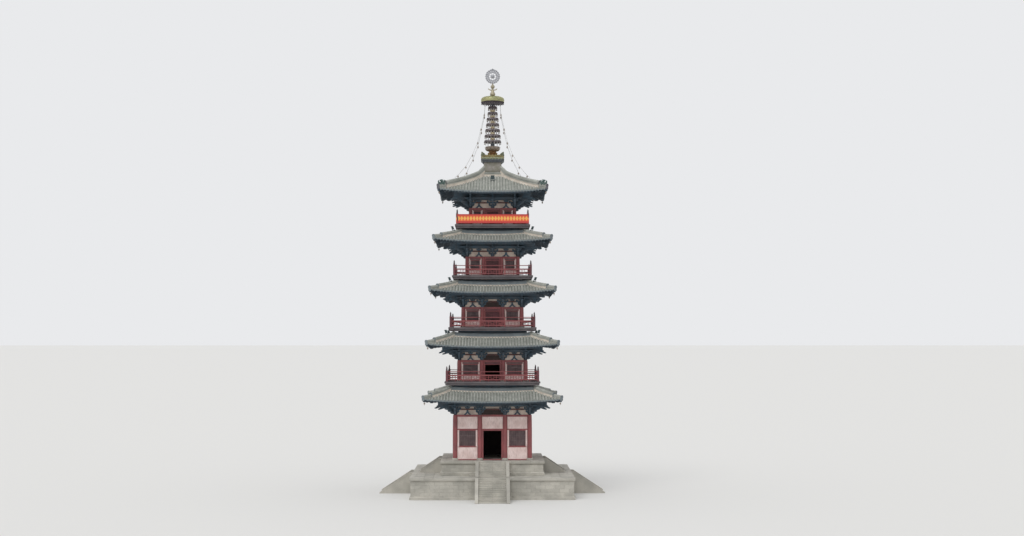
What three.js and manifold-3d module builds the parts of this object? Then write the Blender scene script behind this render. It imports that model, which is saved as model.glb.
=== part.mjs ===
// A five-storey square timber pagoda on a two-step stone base, with tiled eaves, railed galleries
// and a cast metal spire. It is a 1:2 scale model of a tower that stands 42.2 m high.
// Every length below is a metre of the real tower. The group at the end turns those into the
// model's millimetres. X runs to the right of the front, Y to the back and Z up, and the origin is
// at ground level on the tower's axis.
import * as THREE from "three";
import { mergeVertices } from "three/addons/utils/BufferGeometryUtils.js";
import Module from "manifold-3d";

const wasm = await Module();
wasm.setup();

const MODEL_MM_PER_METRE = 500;
const GAP = 0.0008; // clearance between two pieces that rest on each other
const ROOF_GAP = 0.012; // clearance between the brackets and the roof that they carry

// Driving dimensions, one value a storey from the ground up
const FLOOR = [3.4, 10.98, 16.22, 21.26, 26.25]; // top of the floor
const COLUMN_HEIGHT = [4.37, 2.06, 1.98, 1.89, 1.7];
const BODY_HALF = [3.83, 3.43, 3.05, 2.67, 2.34]; // axis to the outer face of the columns
const COLUMN_RADIUS = [0.23, 0.21, 0.2, 0.18, 0.17];
const DOOR_COLUMN = [1.22, 1.04, 1.0, 0.9, 0.82]; // axis to the columns beside a door
const EAVE_HALF = [6.62, 6.34, 6.06, 5.71, 5.32]; // axis to the corner tips
const EAVE_LEVEL = [8.98, 14.23, 19.43, 24.38, 29.2]; // underside of the tile edge, mid side
const SHELF_HALF = [4.15, 3.82, 3.52, 3.19, 1.03]; // axis to the top edge of the tiled slope
const DECK_HALF = [5.0, 4.6, 4.25, 3.92, 3.65]; // axis to the edge of the gallery floor
const DOOR_HEIGHT = [2.9, 1.68, 1.62, 1.56, 1.42];
const WINDOW_BOTTOM = [1.3, 0.66, 0.64, 0.6, 0.56];
const OPEN_FRONT_DOOR = [true, true, false, false, false];
const TOP = 4; // index of the highest storey

// Timber frame and walls
const WALL_OUTSIDE = 0.07; // plaster face outside the column line
const WALL_INSIDE = 0.3; // plaster face inside the column line
const LINTEL_DEPTH = 0.2;
const LINTEL_HALF_WIDTH = 0.1;
const LINING = 0.05; // boards that line the walls inside
const DOOR_RECESS = 0.1; // door face behind the plaster face
const WINDOW_RECESS = 0.05;
const PLASTER_STRIP = 0.16; // plaster between a column and a window frame
const DOOR_POST = 0.1; // timber between a column and the door leaves
const DOOR_LEAF = 0.06;

// Bracket sets, measured out from the column line and up from the column tops
const ARM_HALF_WIDTH = 0.09;
const ARM_REACH = 1.42; // column line to the middle of the purlin
const ARM_FOOT = 0.18; // reach of the arms at the column top
const LOW_ARM = { out: [0.57, 0.88], z: 0.46 };
const LEVER_END = { out: 1.62, z: 0.72 };
const BRACKET_WALL_OUTSIDE = 0.05;
const BRACKET_WALL_INSIDE = 0.2;
const PURLIN_HALF = 0.1;
const PURLIN_DEPTH = 0.24;
const CORNER_CLEARANCE = 0.07; // between the diagonal timbers and the curved roof over them
const OLD_HIP_BEAM = { start: 1.02, depth: 0.3, short: 0.8 }; // short of the corner tip
const HIP_BEAM_HALF = 0.1;
const YOUNG_HIP_BEAM = { depth: 0.08, short: 0.12 };

// Tiled roofs
const EAVE_CORNER_REACH = 0.22; // how much further out the corners are than mid side
const EAVE_TILE_EDGE = 0.17;
const ROOF_THICKNESS = 0.36;
const CORNER_THINNING = 0.14; // how much thinner the eave is at the corner tips
const ROOF_HOLLOW = 0.42; // how much the slope sags, as a share of its height
const CORNER_LIFT = 0.27;
const SHELF_LIFT = [0.14, 0.14, 0.14, 0.14, 0.03];
const SHELF_DROP = 0.98; // top edge of the slope below the floor above
const TOP_SHELF_LEVEL = 31.25;
const RING_RIDGE_HEIGHT = 0.37;
const RING_RIDGE_WIDTH = 0.32;
const HIP_HALF_WIDTH = [0.15, 0.15, 0.15, 0.15, 0.2];
const HIP_HEIGHT = [0.4, 0.4, 0.4, 0.4, 0.62];
const HIP_END_HEIGHT = 0.26;
const HIP_STEP = [0.7, 0.7, 0.7, 0.7, 0.82]; // where along the slope the hip ridge steps down
const HIP_BED = 0.12; // how deep the hip ridge is set into the slope
const EAVE_STEPS = 4; // straight lengths along one curved side

// Galleries
const DECK_THICKNESS = 0.35;
const DECK_BOARD = 0.08;
const RAIL_INSET = 0.2;
const RAIL_HEIGHT = 1.0;
const RAIL_PANEL_HEIGHT = 0.66;
const RAIL_HALF_WIDTH = 0.05;
const RAIL_DEPTH = 0.12;
const MID_POST_HALF = 0.072;
const POST_HALF = 0.09;
const POST_SHOULDER = 1.12;
const POST_TIP = 1.5;
const MID_POST = 1.2; // axis to the posts between the corners
const BANNER = { half: 3.56, z: [0.1, 0.98], clearance: 0.012, thickness: 0.02 };

// Stone base
const TERRACE_HALF = 7.8;
const TERRACE_TOP = 2.04;
const MOULDING = 0.12;
const MOULDING_FLAT = 0.22; // upright part of the foot and the coping
const MOULDING_HEIGHT = 0.34; // with the bevel
const RISER = 0.17;
const TREAD = 0.27;
const STEPS_HALF_WIDTH = 1.3;
const CHEEK_WIDTH = 0.32;

// Three.js geometry to joined solids and back. Each geometry is welded when it is made, before it
// is turned or moved.

function weld(geometry) {
  const bare = geometry.clone();
  bare.deleteAttribute("normal");
  bare.deleteAttribute("uv");
  const merged = mergeVertices(bare, 1e-6);
  const kept = [];
  const index = merged.index.array;
  for (let i = 0; i < index.length; i += 3) {
    const [a, b, c] = [index[i], index[i + 1], index[i + 2]];
    if (a !== b && b !== c && c !== a) kept.push(a, b, c);
  }
  merged.setIndex(kept);
  return merged;
}

function solidOf(geometry) {
  const vertProperties = new Float32Array(geometry.attributes.position.array);
  const triVerts = new Uint32Array(geometry.index.array);
  const made = new wasm.Manifold(new wasm.Mesh({ numProp: 3, vertProperties, triVerts }));
  if (made.volume() > 0) return made;
  for (let i = 0; i < triVerts.length; i += 3) {
    [triVerts[i + 1], triVerts[i + 2]] = [triVerts[i + 2], triVerts[i + 1]];
  }
  return new wasm.Manifold(new wasm.Mesh({ numProp: 3, vertProperties, triVerts }));
}

function geometryOf(solid) {
  const mesh = solid.getMesh();
  const positions = new Float32Array(mesh.numVert * 3);
  for (let i = 0; i < mesh.numVert; i++) {
    const start = i * mesh.numProp;
    positions.set(mesh.vertProperties.subarray(start, start + 3), i * 3);
  }
  const geometry = new THREE.BufferGeometry();
  geometry.setAttribute("position", new THREE.BufferAttribute(positions, 3));
  geometry.setIndex(new THREE.BufferAttribute(new Uint32Array(mesh.triVerts), 1));
  return geometry;
}

function join(geometries) {
  return geometries.map(solidOf).reduce((whole, piece) => whole.add(piece));
}

function cut(solid, geometries) {
  return geometries.map(solidOf).reduce((whole, piece) => whole.subtract(piece), solid);
}

// Shapes

function box(x, y, z) {
  const made = weld(new THREE.BoxGeometry(x[1] - x[0], y[1] - y[0], z[1] - z[0]));
  return made.translate((x[0] + x[1]) / 2, (y[0] + y[1]) / 2, (z[0] + z[1]) / 2);
}

// A shape turned about the tower's axis: four sides make a square block whose half width is the
// profile's first number, and more sides make a round one.
function turned(profile, sides) {
  const square = sides === 4;
  const reach = square ? Math.SQRT2 : 1;
  const points = profile.map(([r, z]) => new THREE.Vector2(r * reach, z));
  const made = weld(new THREE.LatheGeometry(points, sides, square ? Math.PI / 4 : 0));
  return made.rotateX(Math.PI / 2);
}

// A frame that runs round the four sides. section(u) gives its closed outline as [distance from
// the axis, height] pairs at u, which runs from -1 to 1 along a side. The steps are shorter near
// the corners, where the eaves curve up.
function ringAround(section, steps = 1) {
  const positions = [];
  const size = section(0).length;
  for (let side = 0; side < 4; side++) {
    const turn = new THREE.Matrix4().makeRotationZ((side * Math.PI) / 2);
    for (let step = 0; step < steps; step++) {
      const even = -1 + (2 * step) / steps;
      const u = Math.sign(even) * Math.abs(even) ** 0.6;
      for (const [d, z] of section(u)) {
        positions.push(...new THREE.Vector3(u * d, -d, z).applyMatrix4(turn));
      }
    }
  }
  const stations = 4 * steps;
  const index = [];
  for (let s = 0; s < stations; s++) {
    for (let p = 0; p < size; p++) {
      const here = s * size;
      const next = ((s + 1) % stations) * size;
      const q = (p + 1) % size;
      index.push(here + p, next + p, next + q, here + p, next + q, here + q);
    }
  }
  const geometry = new THREE.BufferGeometry();
  geometry.setAttribute("position", new THREE.Float32BufferAttribute(positions, 3));
  geometry.setIndex(index);
  return geometry;
}

function plainRing(inner, outer, bottom, top) {
  return ringAround(() => [[inner, bottom], [outer, bottom], [outer, top], [inner, top]]);
}

function extruded(shape, options) {
  return weld(new THREE.ExtrudeGeometry(shape, { bevelEnabled: false, ...options }));
}

// A flat plate whose outline lies in an upright plane: out is the distance from the axis.
function plate(outline, halfWidth) {
  const shape = new THREE.Shape(outline.map(([out, z]) => new THREE.Vector2(out, z)));
  const made = extruded(shape, { depth: 2 * halfWidth });
  made.translate(0, 0, -halfWidth);
  made.rotateX(Math.PI / 2);
  return made.rotateZ(-Math.PI / 2);
}

function onFourSides(geometry) {
  return [0, 1, 2, 3].map((side) => geometry.clone().rotateZ((side * Math.PI) / 2));
}

function onFourCorners(geometry) {
  return onFourSides(geometry.clone().rotateZ(Math.PI / 4));
}

// Materials

function finish(color, roughness, metalness = 0) {
  return new THREE.MeshStandardMaterial({ color, roughness, metalness });
}
const stone = finish(0xb4b0a6, 0.9);
const plaster = finish(0xd8cdbf, 0.92);
const redPaint = finish(0x7a2f2c, 0.6);
const doorPaint = finish(0x64282a, 0.62);
const darkTimber = finish(0x39484a, 0.75);
const deckTimber = finish(0x6b5f5c, 0.8);
const roofTile = finish(0x8a8c89, 0.85);
const bronze = finish(0x6c5d4c, 0.5, 0.8);
const gilding = finish(0xa8935a, 0.4, 0.85);
const iron = finish(0x4c4a48, 0.55, 0.7);
const cloth = finish(0xdc5a35, 0.85);

const pagoda = new THREE.Group();
pagoda.name = "pagoda";
pagoda.scale.setScalar(MODEL_MM_PER_METRE);

function add(name, solid, material) {
  const mesh = new THREE.Mesh(geometryOf(solid), material);
  mesh.name = name;
  pagoda.add(mesh);
}

// Stone base: a wide terrace, a plinth on it, and two flights of steps on each side

function mouldedBlock(half, bottom, top) {
  return turned(
    [
      [0, bottom],
      [half, bottom],
      [half, bottom + MOULDING_FLAT],
      [half - MOULDING, bottom + MOULDING_HEIGHT],
      [half - MOULDING, top - MOULDING_HEIGHT],
      [half, top - MOULDING_FLAT],
      [half, top],
      [0, top],
    ],
    4,
  );
}

// One flight of solid steps that climbs towards the axis, with a sloping cheek stone on each side
function flight(nearest, bottom, risers) {
  const run = (risers - 1) * TREAD;
  const treads = [[nearest, bottom]];
  for (let step = 1; step < risers; step++) {
    const z = bottom + (risers - step) * RISER;
    treads.push([nearest + (step - 1) * TREAD, z], [nearest + step * TREAD, z]);
  }
  treads.push([nearest + run, bottom]);
  const top = bottom + risers * RISER;
  const cheek = [
    [nearest, bottom],
    [nearest, top],
    [nearest + TREAD, top],
    [nearest + run + TREAD, bottom + RISER * 0.6],
    [nearest + run + TREAD, bottom],
  ];
  const set = 0.01; // how far a cheek is let into the steps
  const side = STEPS_HALF_WIDTH + CHEEK_WIDTH / 2 - set;
  return [
    plate(treads, STEPS_HALF_WIDTH),
    plate(cheek, CHEEK_WIDTH / 2).translate(side, 0, 0),
    plate(cheek, CHEEK_WIDTH / 2).translate(-side, 0, 0),
  ];
}

function buildBase() {
  const plinthTop = FLOOR[0];
  add("lower_terrace", join([mouldedBlock(TERRACE_HALF, 0, TERRACE_TOP)]), stone);
  const plinth = mouldedBlock(DECK_HALF[0], TERRACE_TOP + GAP, plinthTop);
  add("upper_plinth", join([plinth]), stone);
  const lower = flight(TERRACE_HALF + GAP, 0, Math.round(TERRACE_TOP / RISER));
  const upperRisers = Math.round((plinthTop - TERRACE_TOP) / RISER);
  const upper = flight(DECK_HALF[0] + GAP, TERRACE_TOP + GAP, upperRisers);
  ["front", "right", "back", "left"].forEach((side, k) => {
    const turnedTo = (pieces) => pieces.map((g) => g.clone().rotateZ((k * Math.PI) / 2));
    add(`lower_steps_${side}`, join(turnedTo(lower)), stone);
    add(`upper_steps_${side}`, join(turnedTo(upper)), stone);
  });
}

// Storeys

const columnLine = (i) => BODY_HALF[i] - COLUMN_RADIUS[i];
const columnTop = (i) => FLOOR[i] + COLUMN_HEIGHT[i];
const wallTop = (i) => columnTop(i) - LINTEL_DEPTH;

// Twelve round columns under a lintel that runs round all four sides
function timberFrame(i) {
  const line = columnLine(i);
  const inner = line - LINTEL_HALF_WIDTH;
  const lintels = plainRing(inner, line + LINTEL_HALF_WIDTH, wallTop(i), columnTop(i));
  const bottom = FLOOR[i] + GAP;
  const top = columnTop(i) - 0.02;
  const radius = COLUMN_RADIUS[i];
  const shaft = weld(new THREE.CylinderGeometry(radius, radius, top - bottom, 6));
  shaft.rotateX(Math.PI / 2).translate(0, -line, (top + bottom) / 2);
  const places = [-line, -DOOR_COLUMN[i], DOOR_COLUMN[i]];
  const shafts = places.flatMap((x) => onFourSides(shaft.clone().translate(x, 0, 0)));
  return join([lintels, ...shafts]);
}

// The opening of a door or window, as the ranges of x and z that it takes on one side
function doorOpening(i) {
  const half = DOOR_COLUMN[i] - COLUMN_RADIUS[i] - DOOR_POST / 2;
  return { x: [-half, half], z: [FLOOR[i] - GAP, FLOOR[i] + DOOR_HEIGHT[i]] };
}

function windowOpenings(i) {
  const near = DOOR_COLUMN[i] + COLUMN_RADIUS[i] + PLASTER_STRIP;
  const far = columnLine(i) - COLUMN_RADIUS[i] - PLASTER_STRIP;
  const z = [FLOOR[i] + WINDOW_BOTTOM[i], FLOOR[i] + DOOR_HEIGHT[i]];
  return [
    { x: [near, far], z },
    { x: [-far, -near], z },
  ];
}

// A wall ring behind the columns, notched round each of them
function plasterWalls(i) {
  const line = columnLine(i);
  const inside = line - WALL_INSIDE;
  const outside = line + WALL_OUTSIDE;
  const ring = plainRing(inside, outside, FLOOR[i] + GAP, wallTop(i) - GAP);
  const through = [-outside - 0.1, -inside + 0.1];
  const openings = [doorOpening(i), ...windowOpenings(i)].flatMap(({ x, z }) =>
    onFourSides(box(x, through, z)),
  );
  const reach = COLUMN_RADIUS[i] + GAP;
  const heights = [FLOOR[i] - 1, columnTop(i) + 1];
  const notch = box([-reach, reach], [-outside - 0.1, -line + reach], heights);
  const cornerNotch = box([-outside - 0.1, -line + reach], [-outside - 0.1, -line + reach], heights);
  const notches = [-DOOR_COLUMN[i], DOOR_COLUMN[i]].flatMap((x) =>
    onFourSides(notch.clone().translate(x, 0, 0)),
  );
  return cut(join([ring]), [...openings, ...notches, ...onFourSides(cornerNotch)]);
}

// Boards that line the walls inside, with the windows and door leaves that fill the openings
function joinery(i) {
  const line = columnLine(i);
  const back = line - WALL_INSIDE - GAP;
  const lining = plainRing(back - LINING, back, FLOOR[i] + GAP, wallTop(i) - GAP);
  const shrink = ([a, b]) => [a + GAP, b - GAP];
  const filled = (opening, recess) => {
    const y = [-line - WALL_OUTSIDE + recess, -back + LINING / 2];
    return box(shrink(opening.x), y, shrink(opening.z));
  };
  const windows = windowOpenings(i).flatMap((w) => onFourSides(filled(w, WINDOW_RECESS)));
  const door = doorOpening(i);
  const closed = filled({ x: door.x, z: [FLOOR[i], door.z[1]] }, DOOR_RECESS);
  const leaves = onFourSides(closed).slice(OPEN_FRONT_DOOR[i] ? 1 : 0);
  const whole = join([lining, ...windows, ...leaves]);
  if (!OPEN_FRONT_DOOR[i]) return whole;
  const width = door.x[1] - DOOR_LEAF;
  const doorway = box([-width, width], [-line - 1, -back + 0.1], [FLOOR[i] - 0.1, door.z[1]]);
  const leafY = [-back + LINING / 2, -back + width];
  const leafZ = [FLOOR[i] + GAP, door.z[1] - GAP];
  const openLeaves = [[-door.x[1], -width], [width, door.x[1]]].map((x) => box(x, leafY, leafZ));
  return cut(whole, [doorway]).add(join(openLeaves));
}

// Roofs

const shelfLevel = (i) => (i === TOP ? TOP_SHELF_LEVEL : FLOOR[i + 1] - SHELF_DROP);
const eaveHalf = (i, u) => EAVE_HALF[i] - EAVE_CORNER_REACH * (1 - Math.abs(u) ** 3);

// Distance from the axis and height of the tiled surface. t runs from 0 at the top edge of the
// slope to 1 at the eave, and u from -1 to 1 along the side.
function slopePoint(i, t, u) {
  const bend = Math.abs(u) ** 2.5;
  const lowest = EAVE_LEVEL[i] + EAVE_TILE_EDGE;
  const fall = t * (1 + ROOF_HOLLOW) - ROOF_HOLLOW * t * t;
  const lift = SHELF_LIFT[i] + (CORNER_LIFT - SHELF_LIFT[i]) * t;
  return [
    SHELF_HALF[i] + (eaveHalf(i, u) - SHELF_HALF[i]) * t,
    shelfLevel(i) + (lowest - shelfLevel(i)) * fall + lift * bend,
  ];
}

// Height of the roof's flat underside at a distance from the axis
function underside(i, distance, u) {
  const top = slopePoint(i, 0, u);
  const eave = slopePoint(i, 1, u);
  const t = Math.max(0, (distance - top[0]) / (eave[0] - top[0]));
  const thickness = ROOF_THICKNESS - CORNER_THINNING * t * Math.abs(u) ** 2.5;
  return top[1] + (eave[1] - top[1]) * t - thickness;
}

// The slopes with the ring ridge under the gallery above, all in one section
function slopeShell(i) {
  const innerEdge = i === TOP ? 0.5 : columnLine(i) + BRACKET_WALL_OUTSIDE + GAP;
  const cuts = i === TOP ? [0, 0.25, 0.5, 0.75, 1] : [0, 0.5, 1];
  return ringAround((u) => {
    const [half, shelf] = slopePoint(i, 0, u);
    const ridge = half - RING_RIDGE_WIDTH;
    return [
      [innerEdge, shelf],
      [ridge, shelf],
      [ridge, shelf + RING_RIDGE_HEIGHT],
      [half, shelf + RING_RIDGE_HEIGHT],
      ...cuts.map((t) => slopePoint(i, t, u)),
      [eaveHalf(i, u), underside(i, eaveHalf(i, u), u)],
      [half, underside(i, half, u)],
      [innerEdge, underside(i, innerEdge, u)],
    ];
  }, EAVE_STEPS);
}

// The hip ridge of one corner, with its lower step and the end that carries the figures
function hipRidge(i) {
  const raised = (t, height) => {
    const [d, z] = slopePoint(i, t, 1);
    return [d * Math.SQRT2, z + height];
  };
  const start = i === TOP ? -0.015 : -0.05;
  const step = HIP_STEP[i];
  const outline = [
    raised(start, -HIP_BED),
    raised(0.5, -HIP_BED),
    raised(0.98, -HIP_BED),
    raised(0.98, HIP_END_HEIGHT),
    raised(step, HIP_END_HEIGHT),
    raised(step, HIP_HEIGHT[i]),
    raised(step / 2, HIP_HEIGHT[i]),
    raised(start, HIP_HEIGHT[i]),
  ];
  return plate(outline, HIP_HALF_WIDTH[i]);
}

// Bracket sets

// Outline of one set's arms from the cap block out to the purlin, stepping out and up. Stretch is
// 1 on the sides and the square root of two on the diagonals.
function armOutline(i, stretch) {
  const line = columnLine(i);
  const base = columnTop(i) + GAP;
  const u = stretch > 1 ? 1 : 0;
  const clear = stretch > 1 ? CORNER_CLEARANCE : ROOF_GAP;
  const out = (reach) => (line + reach) * stretch;
  const under = (distance) => [distance * stretch, underside(i, distance, u) - clear];
  const knee = Math.max(SHELF_HALF[i], line);
  const back = out(-ARM_FOOT);
  return [
    [back, base],
    [out(ARM_FOOT), base],
    [out(LOW_ARM.out[0]), base + LOW_ARM.z],
    [out(LOW_ARM.out[1]), base + LOW_ARM.z],
    [out(LEVER_END.out), base + LEVER_END.z],
    under(line + LEVER_END.out),
    under(knee),
    [back, underside(i, knee, u) - clear],
  ];
}

function bracketSets(i) {
  const line = columnLine(i);
  const base = columnTop(i) + GAP;
  const wallFace = line + BRACKET_WALL_OUTSIDE;
  const top = i === TOP ? underside(i, wallFace, 0) - ROOF_GAP : FLOOR[i + 1] - DECK_THICKNESS - GAP;
  const wall = plainRing(line - BRACKET_WALL_INSIDE, wallFace, base, top);
  const purlin = line + ARM_REACH;
  const purlinTop = underside(i, purlin + PURLIN_HALF, 0) - ROOF_GAP;
  const purlins = plainRing(
    purlin - PURLIN_HALF,
    purlin + PURLIN_HALF,
    purlinTop - PURLIN_DEPTH,
    purlinTop,
  );
  const arm = plate(armOutline(i, 1), ARM_HALF_WIDTH);
  const places = i >= 3 ? [0] : [-DOOR_COLUMN[i], DOOR_COLUMN[i]];
  const sets = places.flatMap((x) => onFourSides(arm.clone().translate(x, 0, 0)));
  const corner = [plate(armOutline(i, Math.SQRT2), ARM_HALF_WIDTH), hipBeams(i)];
  return join([wall, purlins, ...sets, ...corner.flatMap(onFourCorners)]);
}

// The two hip beams of one corner in one outline: the deep old one, and the thin young one that
// runs on over it to the corner tip
function hipBeams(i) {
  const under = (distance, drop) => [
    distance * Math.SQRT2,
    underside(i, distance, 1) - CORNER_CLEARANCE - drop,
  ];
  const start = columnLine(i) + OLD_HIP_BEAM.start;
  const nose = EAVE_HALF[i] - OLD_HIP_BEAM.short;
  const tip = EAVE_HALF[i] - YOUNG_HIP_BEAM.short;
  const outline = [
    under(start, OLD_HIP_BEAM.depth),
    under(nose, OLD_HIP_BEAM.depth),
    under(nose, YOUNG_HIP_BEAM.depth),
    under(tip, YOUNG_HIP_BEAM.depth),
    under(tip, 0),
    under(start, 0),
  ];
  return plate(outline, HIP_BEAM_HALF);
}

// Galleries

function galleryFloor(i) {
  const half = DECK_HALF[i];
  const top = FLOOR[i];
  const bottom = top - DECK_THICKNESS;
  const beam = half - 0.07;
  const board = top - DECK_BOARD;
  const profile = [[0, bottom], [beam, bottom], [beam, board], [half, board], [half, top], [0, top]];
  return join([turned(profile, 4)]);
}

// Four panels with gaps under the handrail, and a taller post at each corner
function balustrade(i) {
  const line = DECK_HALF[i] - RAIL_INSET;
  const base = FLOOR[i] + GAP;
  const across = [-line - RAIL_HALF_WIDTH, -line + RAIL_HALF_WIDTH];
  const through = [-line - 1, -line + 1];
  const gapHeights = [base + RAIL_PANEL_HEIGHT, base + RAIL_HEIGHT - RAIL_DEPTH];
  const half = MID_POST_HALF;
  const gaps = [
    [-line + half, -MID_POST - half],
    [-MID_POST + half, MID_POST - half],
    [MID_POST + half, line - half],
  ];
  const whole = join([box([-line, line], across, [base, base + RAIL_HEIGHT])]);
  const panel = geometryOf(cut(whole, gaps.map((x) => box(x, through, gapHeights))));
  const tip = [[0.03, POST_SHOULDER + 0.08], [0, POST_TIP]];
  const post = turned([[0, 0], [POST_HALF, 0], [POST_HALF, POST_SHOULDER], ...tip], 4);
  post.translate(-line, -line, base);
  return join([panel, post].flatMap(onFourSides));
}

function buildStoreys() {
  for (let i = 0; i < FLOOR.length; i++) {
    const name = `storey_${i + 1}`;
    if (i > 0) {
      add(`gallery_${i + 1}_floor`, galleryFloor(i), deckTimber);
      add(`gallery_${i + 1}_balustrade`, balustrade(i), redPaint);
    }
    add(`${name}_columns`, timberFrame(i), redPaint);
    add(`${name}_plaster_walls`, plasterWalls(i), plaster);
    add(`${name}_doors_and_windows`, joinery(i), doorPaint);
    add(`${name}_bracket_sets`, bracketSets(i), darkTimber);
    add(`${name}_tiled_roof`, join([slopeShell(i), ...onFourCorners(hipRidge(i))]), roofTile);
  }
}

// Spire, from the roof crown up

const SPIRE_SIDES = 12;
const NECK_HALF = 0.84; // of the square crown under the seat
const CROWN_FOOT_HALF = 0.92;
const CROWN_FLARE = { half: 1.04, z: [31.93, 31.95, 32.2] }; // over the heads of the hip ridges
const CROWN_TOP = 32.64;
const SEAT_HALF = 1.1;
const SEAT_TOP = 33.12;
const TRAY_DEPTH = 0.2;
const LEAF_HALF_WIDTH = 0.16;
const BOWL_TOP = 34.3;
const BOWL_DISH = 0.08;
const RING_LEVEL = 34.8; // middle of the lowest of the seven rings
const RING_SPACING = 0.57;
const RING_RADIUS = [0.875, 0.8, 0.745, 0.685, 0.6, 0.52, 0.45];
const CANOPY_LEVEL = 38.62;
const CANOPY_RADIUS = 1.19;
const CANOPY_HEIGHT = 0.8;
const MAST_RADIUS = 0.2;
const RIM_HALF_HEIGHT = 0.12;
const MEDALLION_CENTRE = 41.38;
const MEDALLION_RADIUS = 0.77;
const MEDALLION_WIRE = 0.055;
const CRESCENT_HALF = 0.47;
const CRESCENT_THICKNESS = 0.12;
const PEARL_RADIUS = 0.17;
const SPIRE_TOP = 42.2;

function roofCrown() {
  const base = TOP_SHELF_LEVEL + SHELF_LIFT[TOP] + RING_RIDGE_HEIGHT + GAP;
  const [under, low, high] = CROWN_FLARE.z;
  const profile = [
    [0, base],
    [CROWN_FOOT_HALF, base],
    [CROWN_FOOT_HALF, under],
    [CROWN_FLARE.half, low],
    [NECK_HALF, high],
    [NECK_HALF, CROWN_TOP],
    [0, CROWN_TOP],
  ];
  return join([turned(profile, 4)]);
}

function spireSeat() {
  const base = CROWN_TOP + GAP;
  const foot = [CROWN_FOOT_HALF, base];
  const edge = [[SEAT_HALF, base + 0.14], [SEAT_HALF, SEAT_TOP]];
  return join([turned([[0, base], foot, ...edge, [0, SEAT_TOP]], 4)]);
}

// Gilded leaf crown with a raised leaf at each corner, the dome, stem and upturned lotus bowl
function lotusBase() {
  const base = SEAT_TOP + GAP;
  const rim = base + TRAY_DEPTH;
  const tray = turned([[0, base], [SEAT_HALF - 0.08, base], [SEAT_HALF, rim], [0, rim]], 4);
  const leaf = plate(
    [[1.2, base + 0.08], [1.52, base + 0.12], [1.6, base + 0.52], [1.34, base + 0.3], [1.2, base + 0.19]],
    LEAF_HALF_WIDTH,
  );
  const bowl = turned(
    [
      [0, base + 0.1],
      [0.68, base + 0.18],
      [0.6, base + 0.36],
      [0.36, base + 0.5],
      [0.33, base + 0.66],
      [0.6, base + 0.76],
      [0.73, BOWL_TOP],
      [MAST_RADIUS + 0.02, BOWL_TOP - BOWL_DISH],
      [0, BOWL_TOP - BOWL_DISH],
    ],
    SPIRE_SIDES,
  );
  return join([tray, bowl, ...onFourCorners(leaf)]);
}

function mastAndRings() {
  const bottom = BOWL_TOP - BOWL_DISH + GAP;
  const top = CANOPY_LEVEL - GAP;
  const profile = [[0, bottom], [MAST_RADIUS, bottom]];
  RING_RADIUS.forEach((radius, k) => {
    const low = RING_LEVEL + k * RING_SPACING - RIM_HALF_HEIGHT;
    const high = low + 2 * RIM_HALF_HEIGHT;
    profile.push([MAST_RADIUS, low + 0.02], [radius, low], [radius * 0.94, high], [MAST_RADIUS, high - 0.04]);
  });
  profile.push([MAST_RADIUS, top], [0, top]);
  return join([turned(profile, SPIRE_SIDES)]);
}

function canopy() {
  const z = CANOPY_LEVEL;
  const r = CANOPY_RADIUS;
  const dome = [[1.0, z + 0.6], [0.5, z + 0.74], [0, z + CANOPY_HEIGHT]];
  const profile = [[0, z], [r, z], [r, z + CANOPY_HEIGHT / 2], ...dome];
  return join([turned(profile, SPIRE_SIDES)]);
}

// The gourd, crescent and bead, and the openwork medallion with its pearl
function finial() {
  const z = CANOPY_LEVEL + CANOPY_HEIGHT + GAP;
  const stem = turned(
    [
      [0, z],
      [0.16, z],
      [0.22, z + 0.16],
      [0.1, z + 0.36],
      [0.1, z + 0.66],
      [0.22, z + 0.92],
      [0.07, z + 1.1],
      [0, z + 1.1],
    ],
    8,
  );
  const crescent = new THREE.Shape();
  crescent.moveTo(-CRESCENT_HALF, z + 0.76);
  crescent.quadraticCurveTo(0, z + 0.26, CRESCENT_HALF, z + 0.76);
  crescent.quadraticCurveTo(0, z + 0.5, -CRESCENT_HALF, z + 0.76);
  const moon = extruded(crescent, { depth: CRESCENT_THICKNESS, curveSegments: 4 });
  moon.translate(0, 0, -CRESCENT_THICKNESS / 2).rotateX(Math.PI / 2);
  const middle = MEDALLION_RADIUS - MEDALLION_WIRE;
  const hoop = weld(new THREE.TorusGeometry(middle, MEDALLION_WIRE, 4, 14));
  hoop.rotateX(Math.PI / 2).translate(0, 0, MEDALLION_CENTRE);
  const upright = box([-0.04, 0.04], [-0.04, 0.04], [z + 1.0, SPIRE_TOP - 0.1]);
  const crossBar = box([-middle, middle], [-0.03, 0.03], [-0.03, 0.03]);
  crossBar.translate(0, 0, MEDALLION_CENTRE);
  const pearl = weld(new THREE.SphereGeometry(PEARL_RADIUS, 6, 4)).translate(0, 0, MEDALLION_CENTRE);
  const tip = weld(new THREE.ConeGeometry(0.09, 0.26, 6)).rotateX(Math.PI / 2);
  tip.translate(0, 0, SPIRE_TOP - 0.13);
  return join([stem, hoop, upright, crossBar, pearl, tip, moon]);
}

// Chains from under the canopy to the hips of the top roof, as [distance from the axis, height]
const CHAIN_RADIUS = 0.022;
const CHAIN_ROUTE = [
  [0.74, 38.6],
  [0.83, 37.5],
  [1.14, 36.0],
  [1.5, 34.5],
  [1.98, 33.28],
  [2.6, 32.08],
  [3.3, 31.14],
  [3.66, 30.8],
];

function chain(sideX, sideY) {
  const points = CHAIN_ROUTE.map(([t, z]) => new THREE.Vector3(sideX * t, sideY * t, z));
  const path = new THREE.CatmullRomCurve3(points);
  const section = new THREE.Shape();
  section.absarc(0, 0, CHAIN_RADIUS, 0, 2 * Math.PI);
  return join([extruded(section, { steps: 14, extrudePath: path, curveSegments: 3 })]);
}

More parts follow.
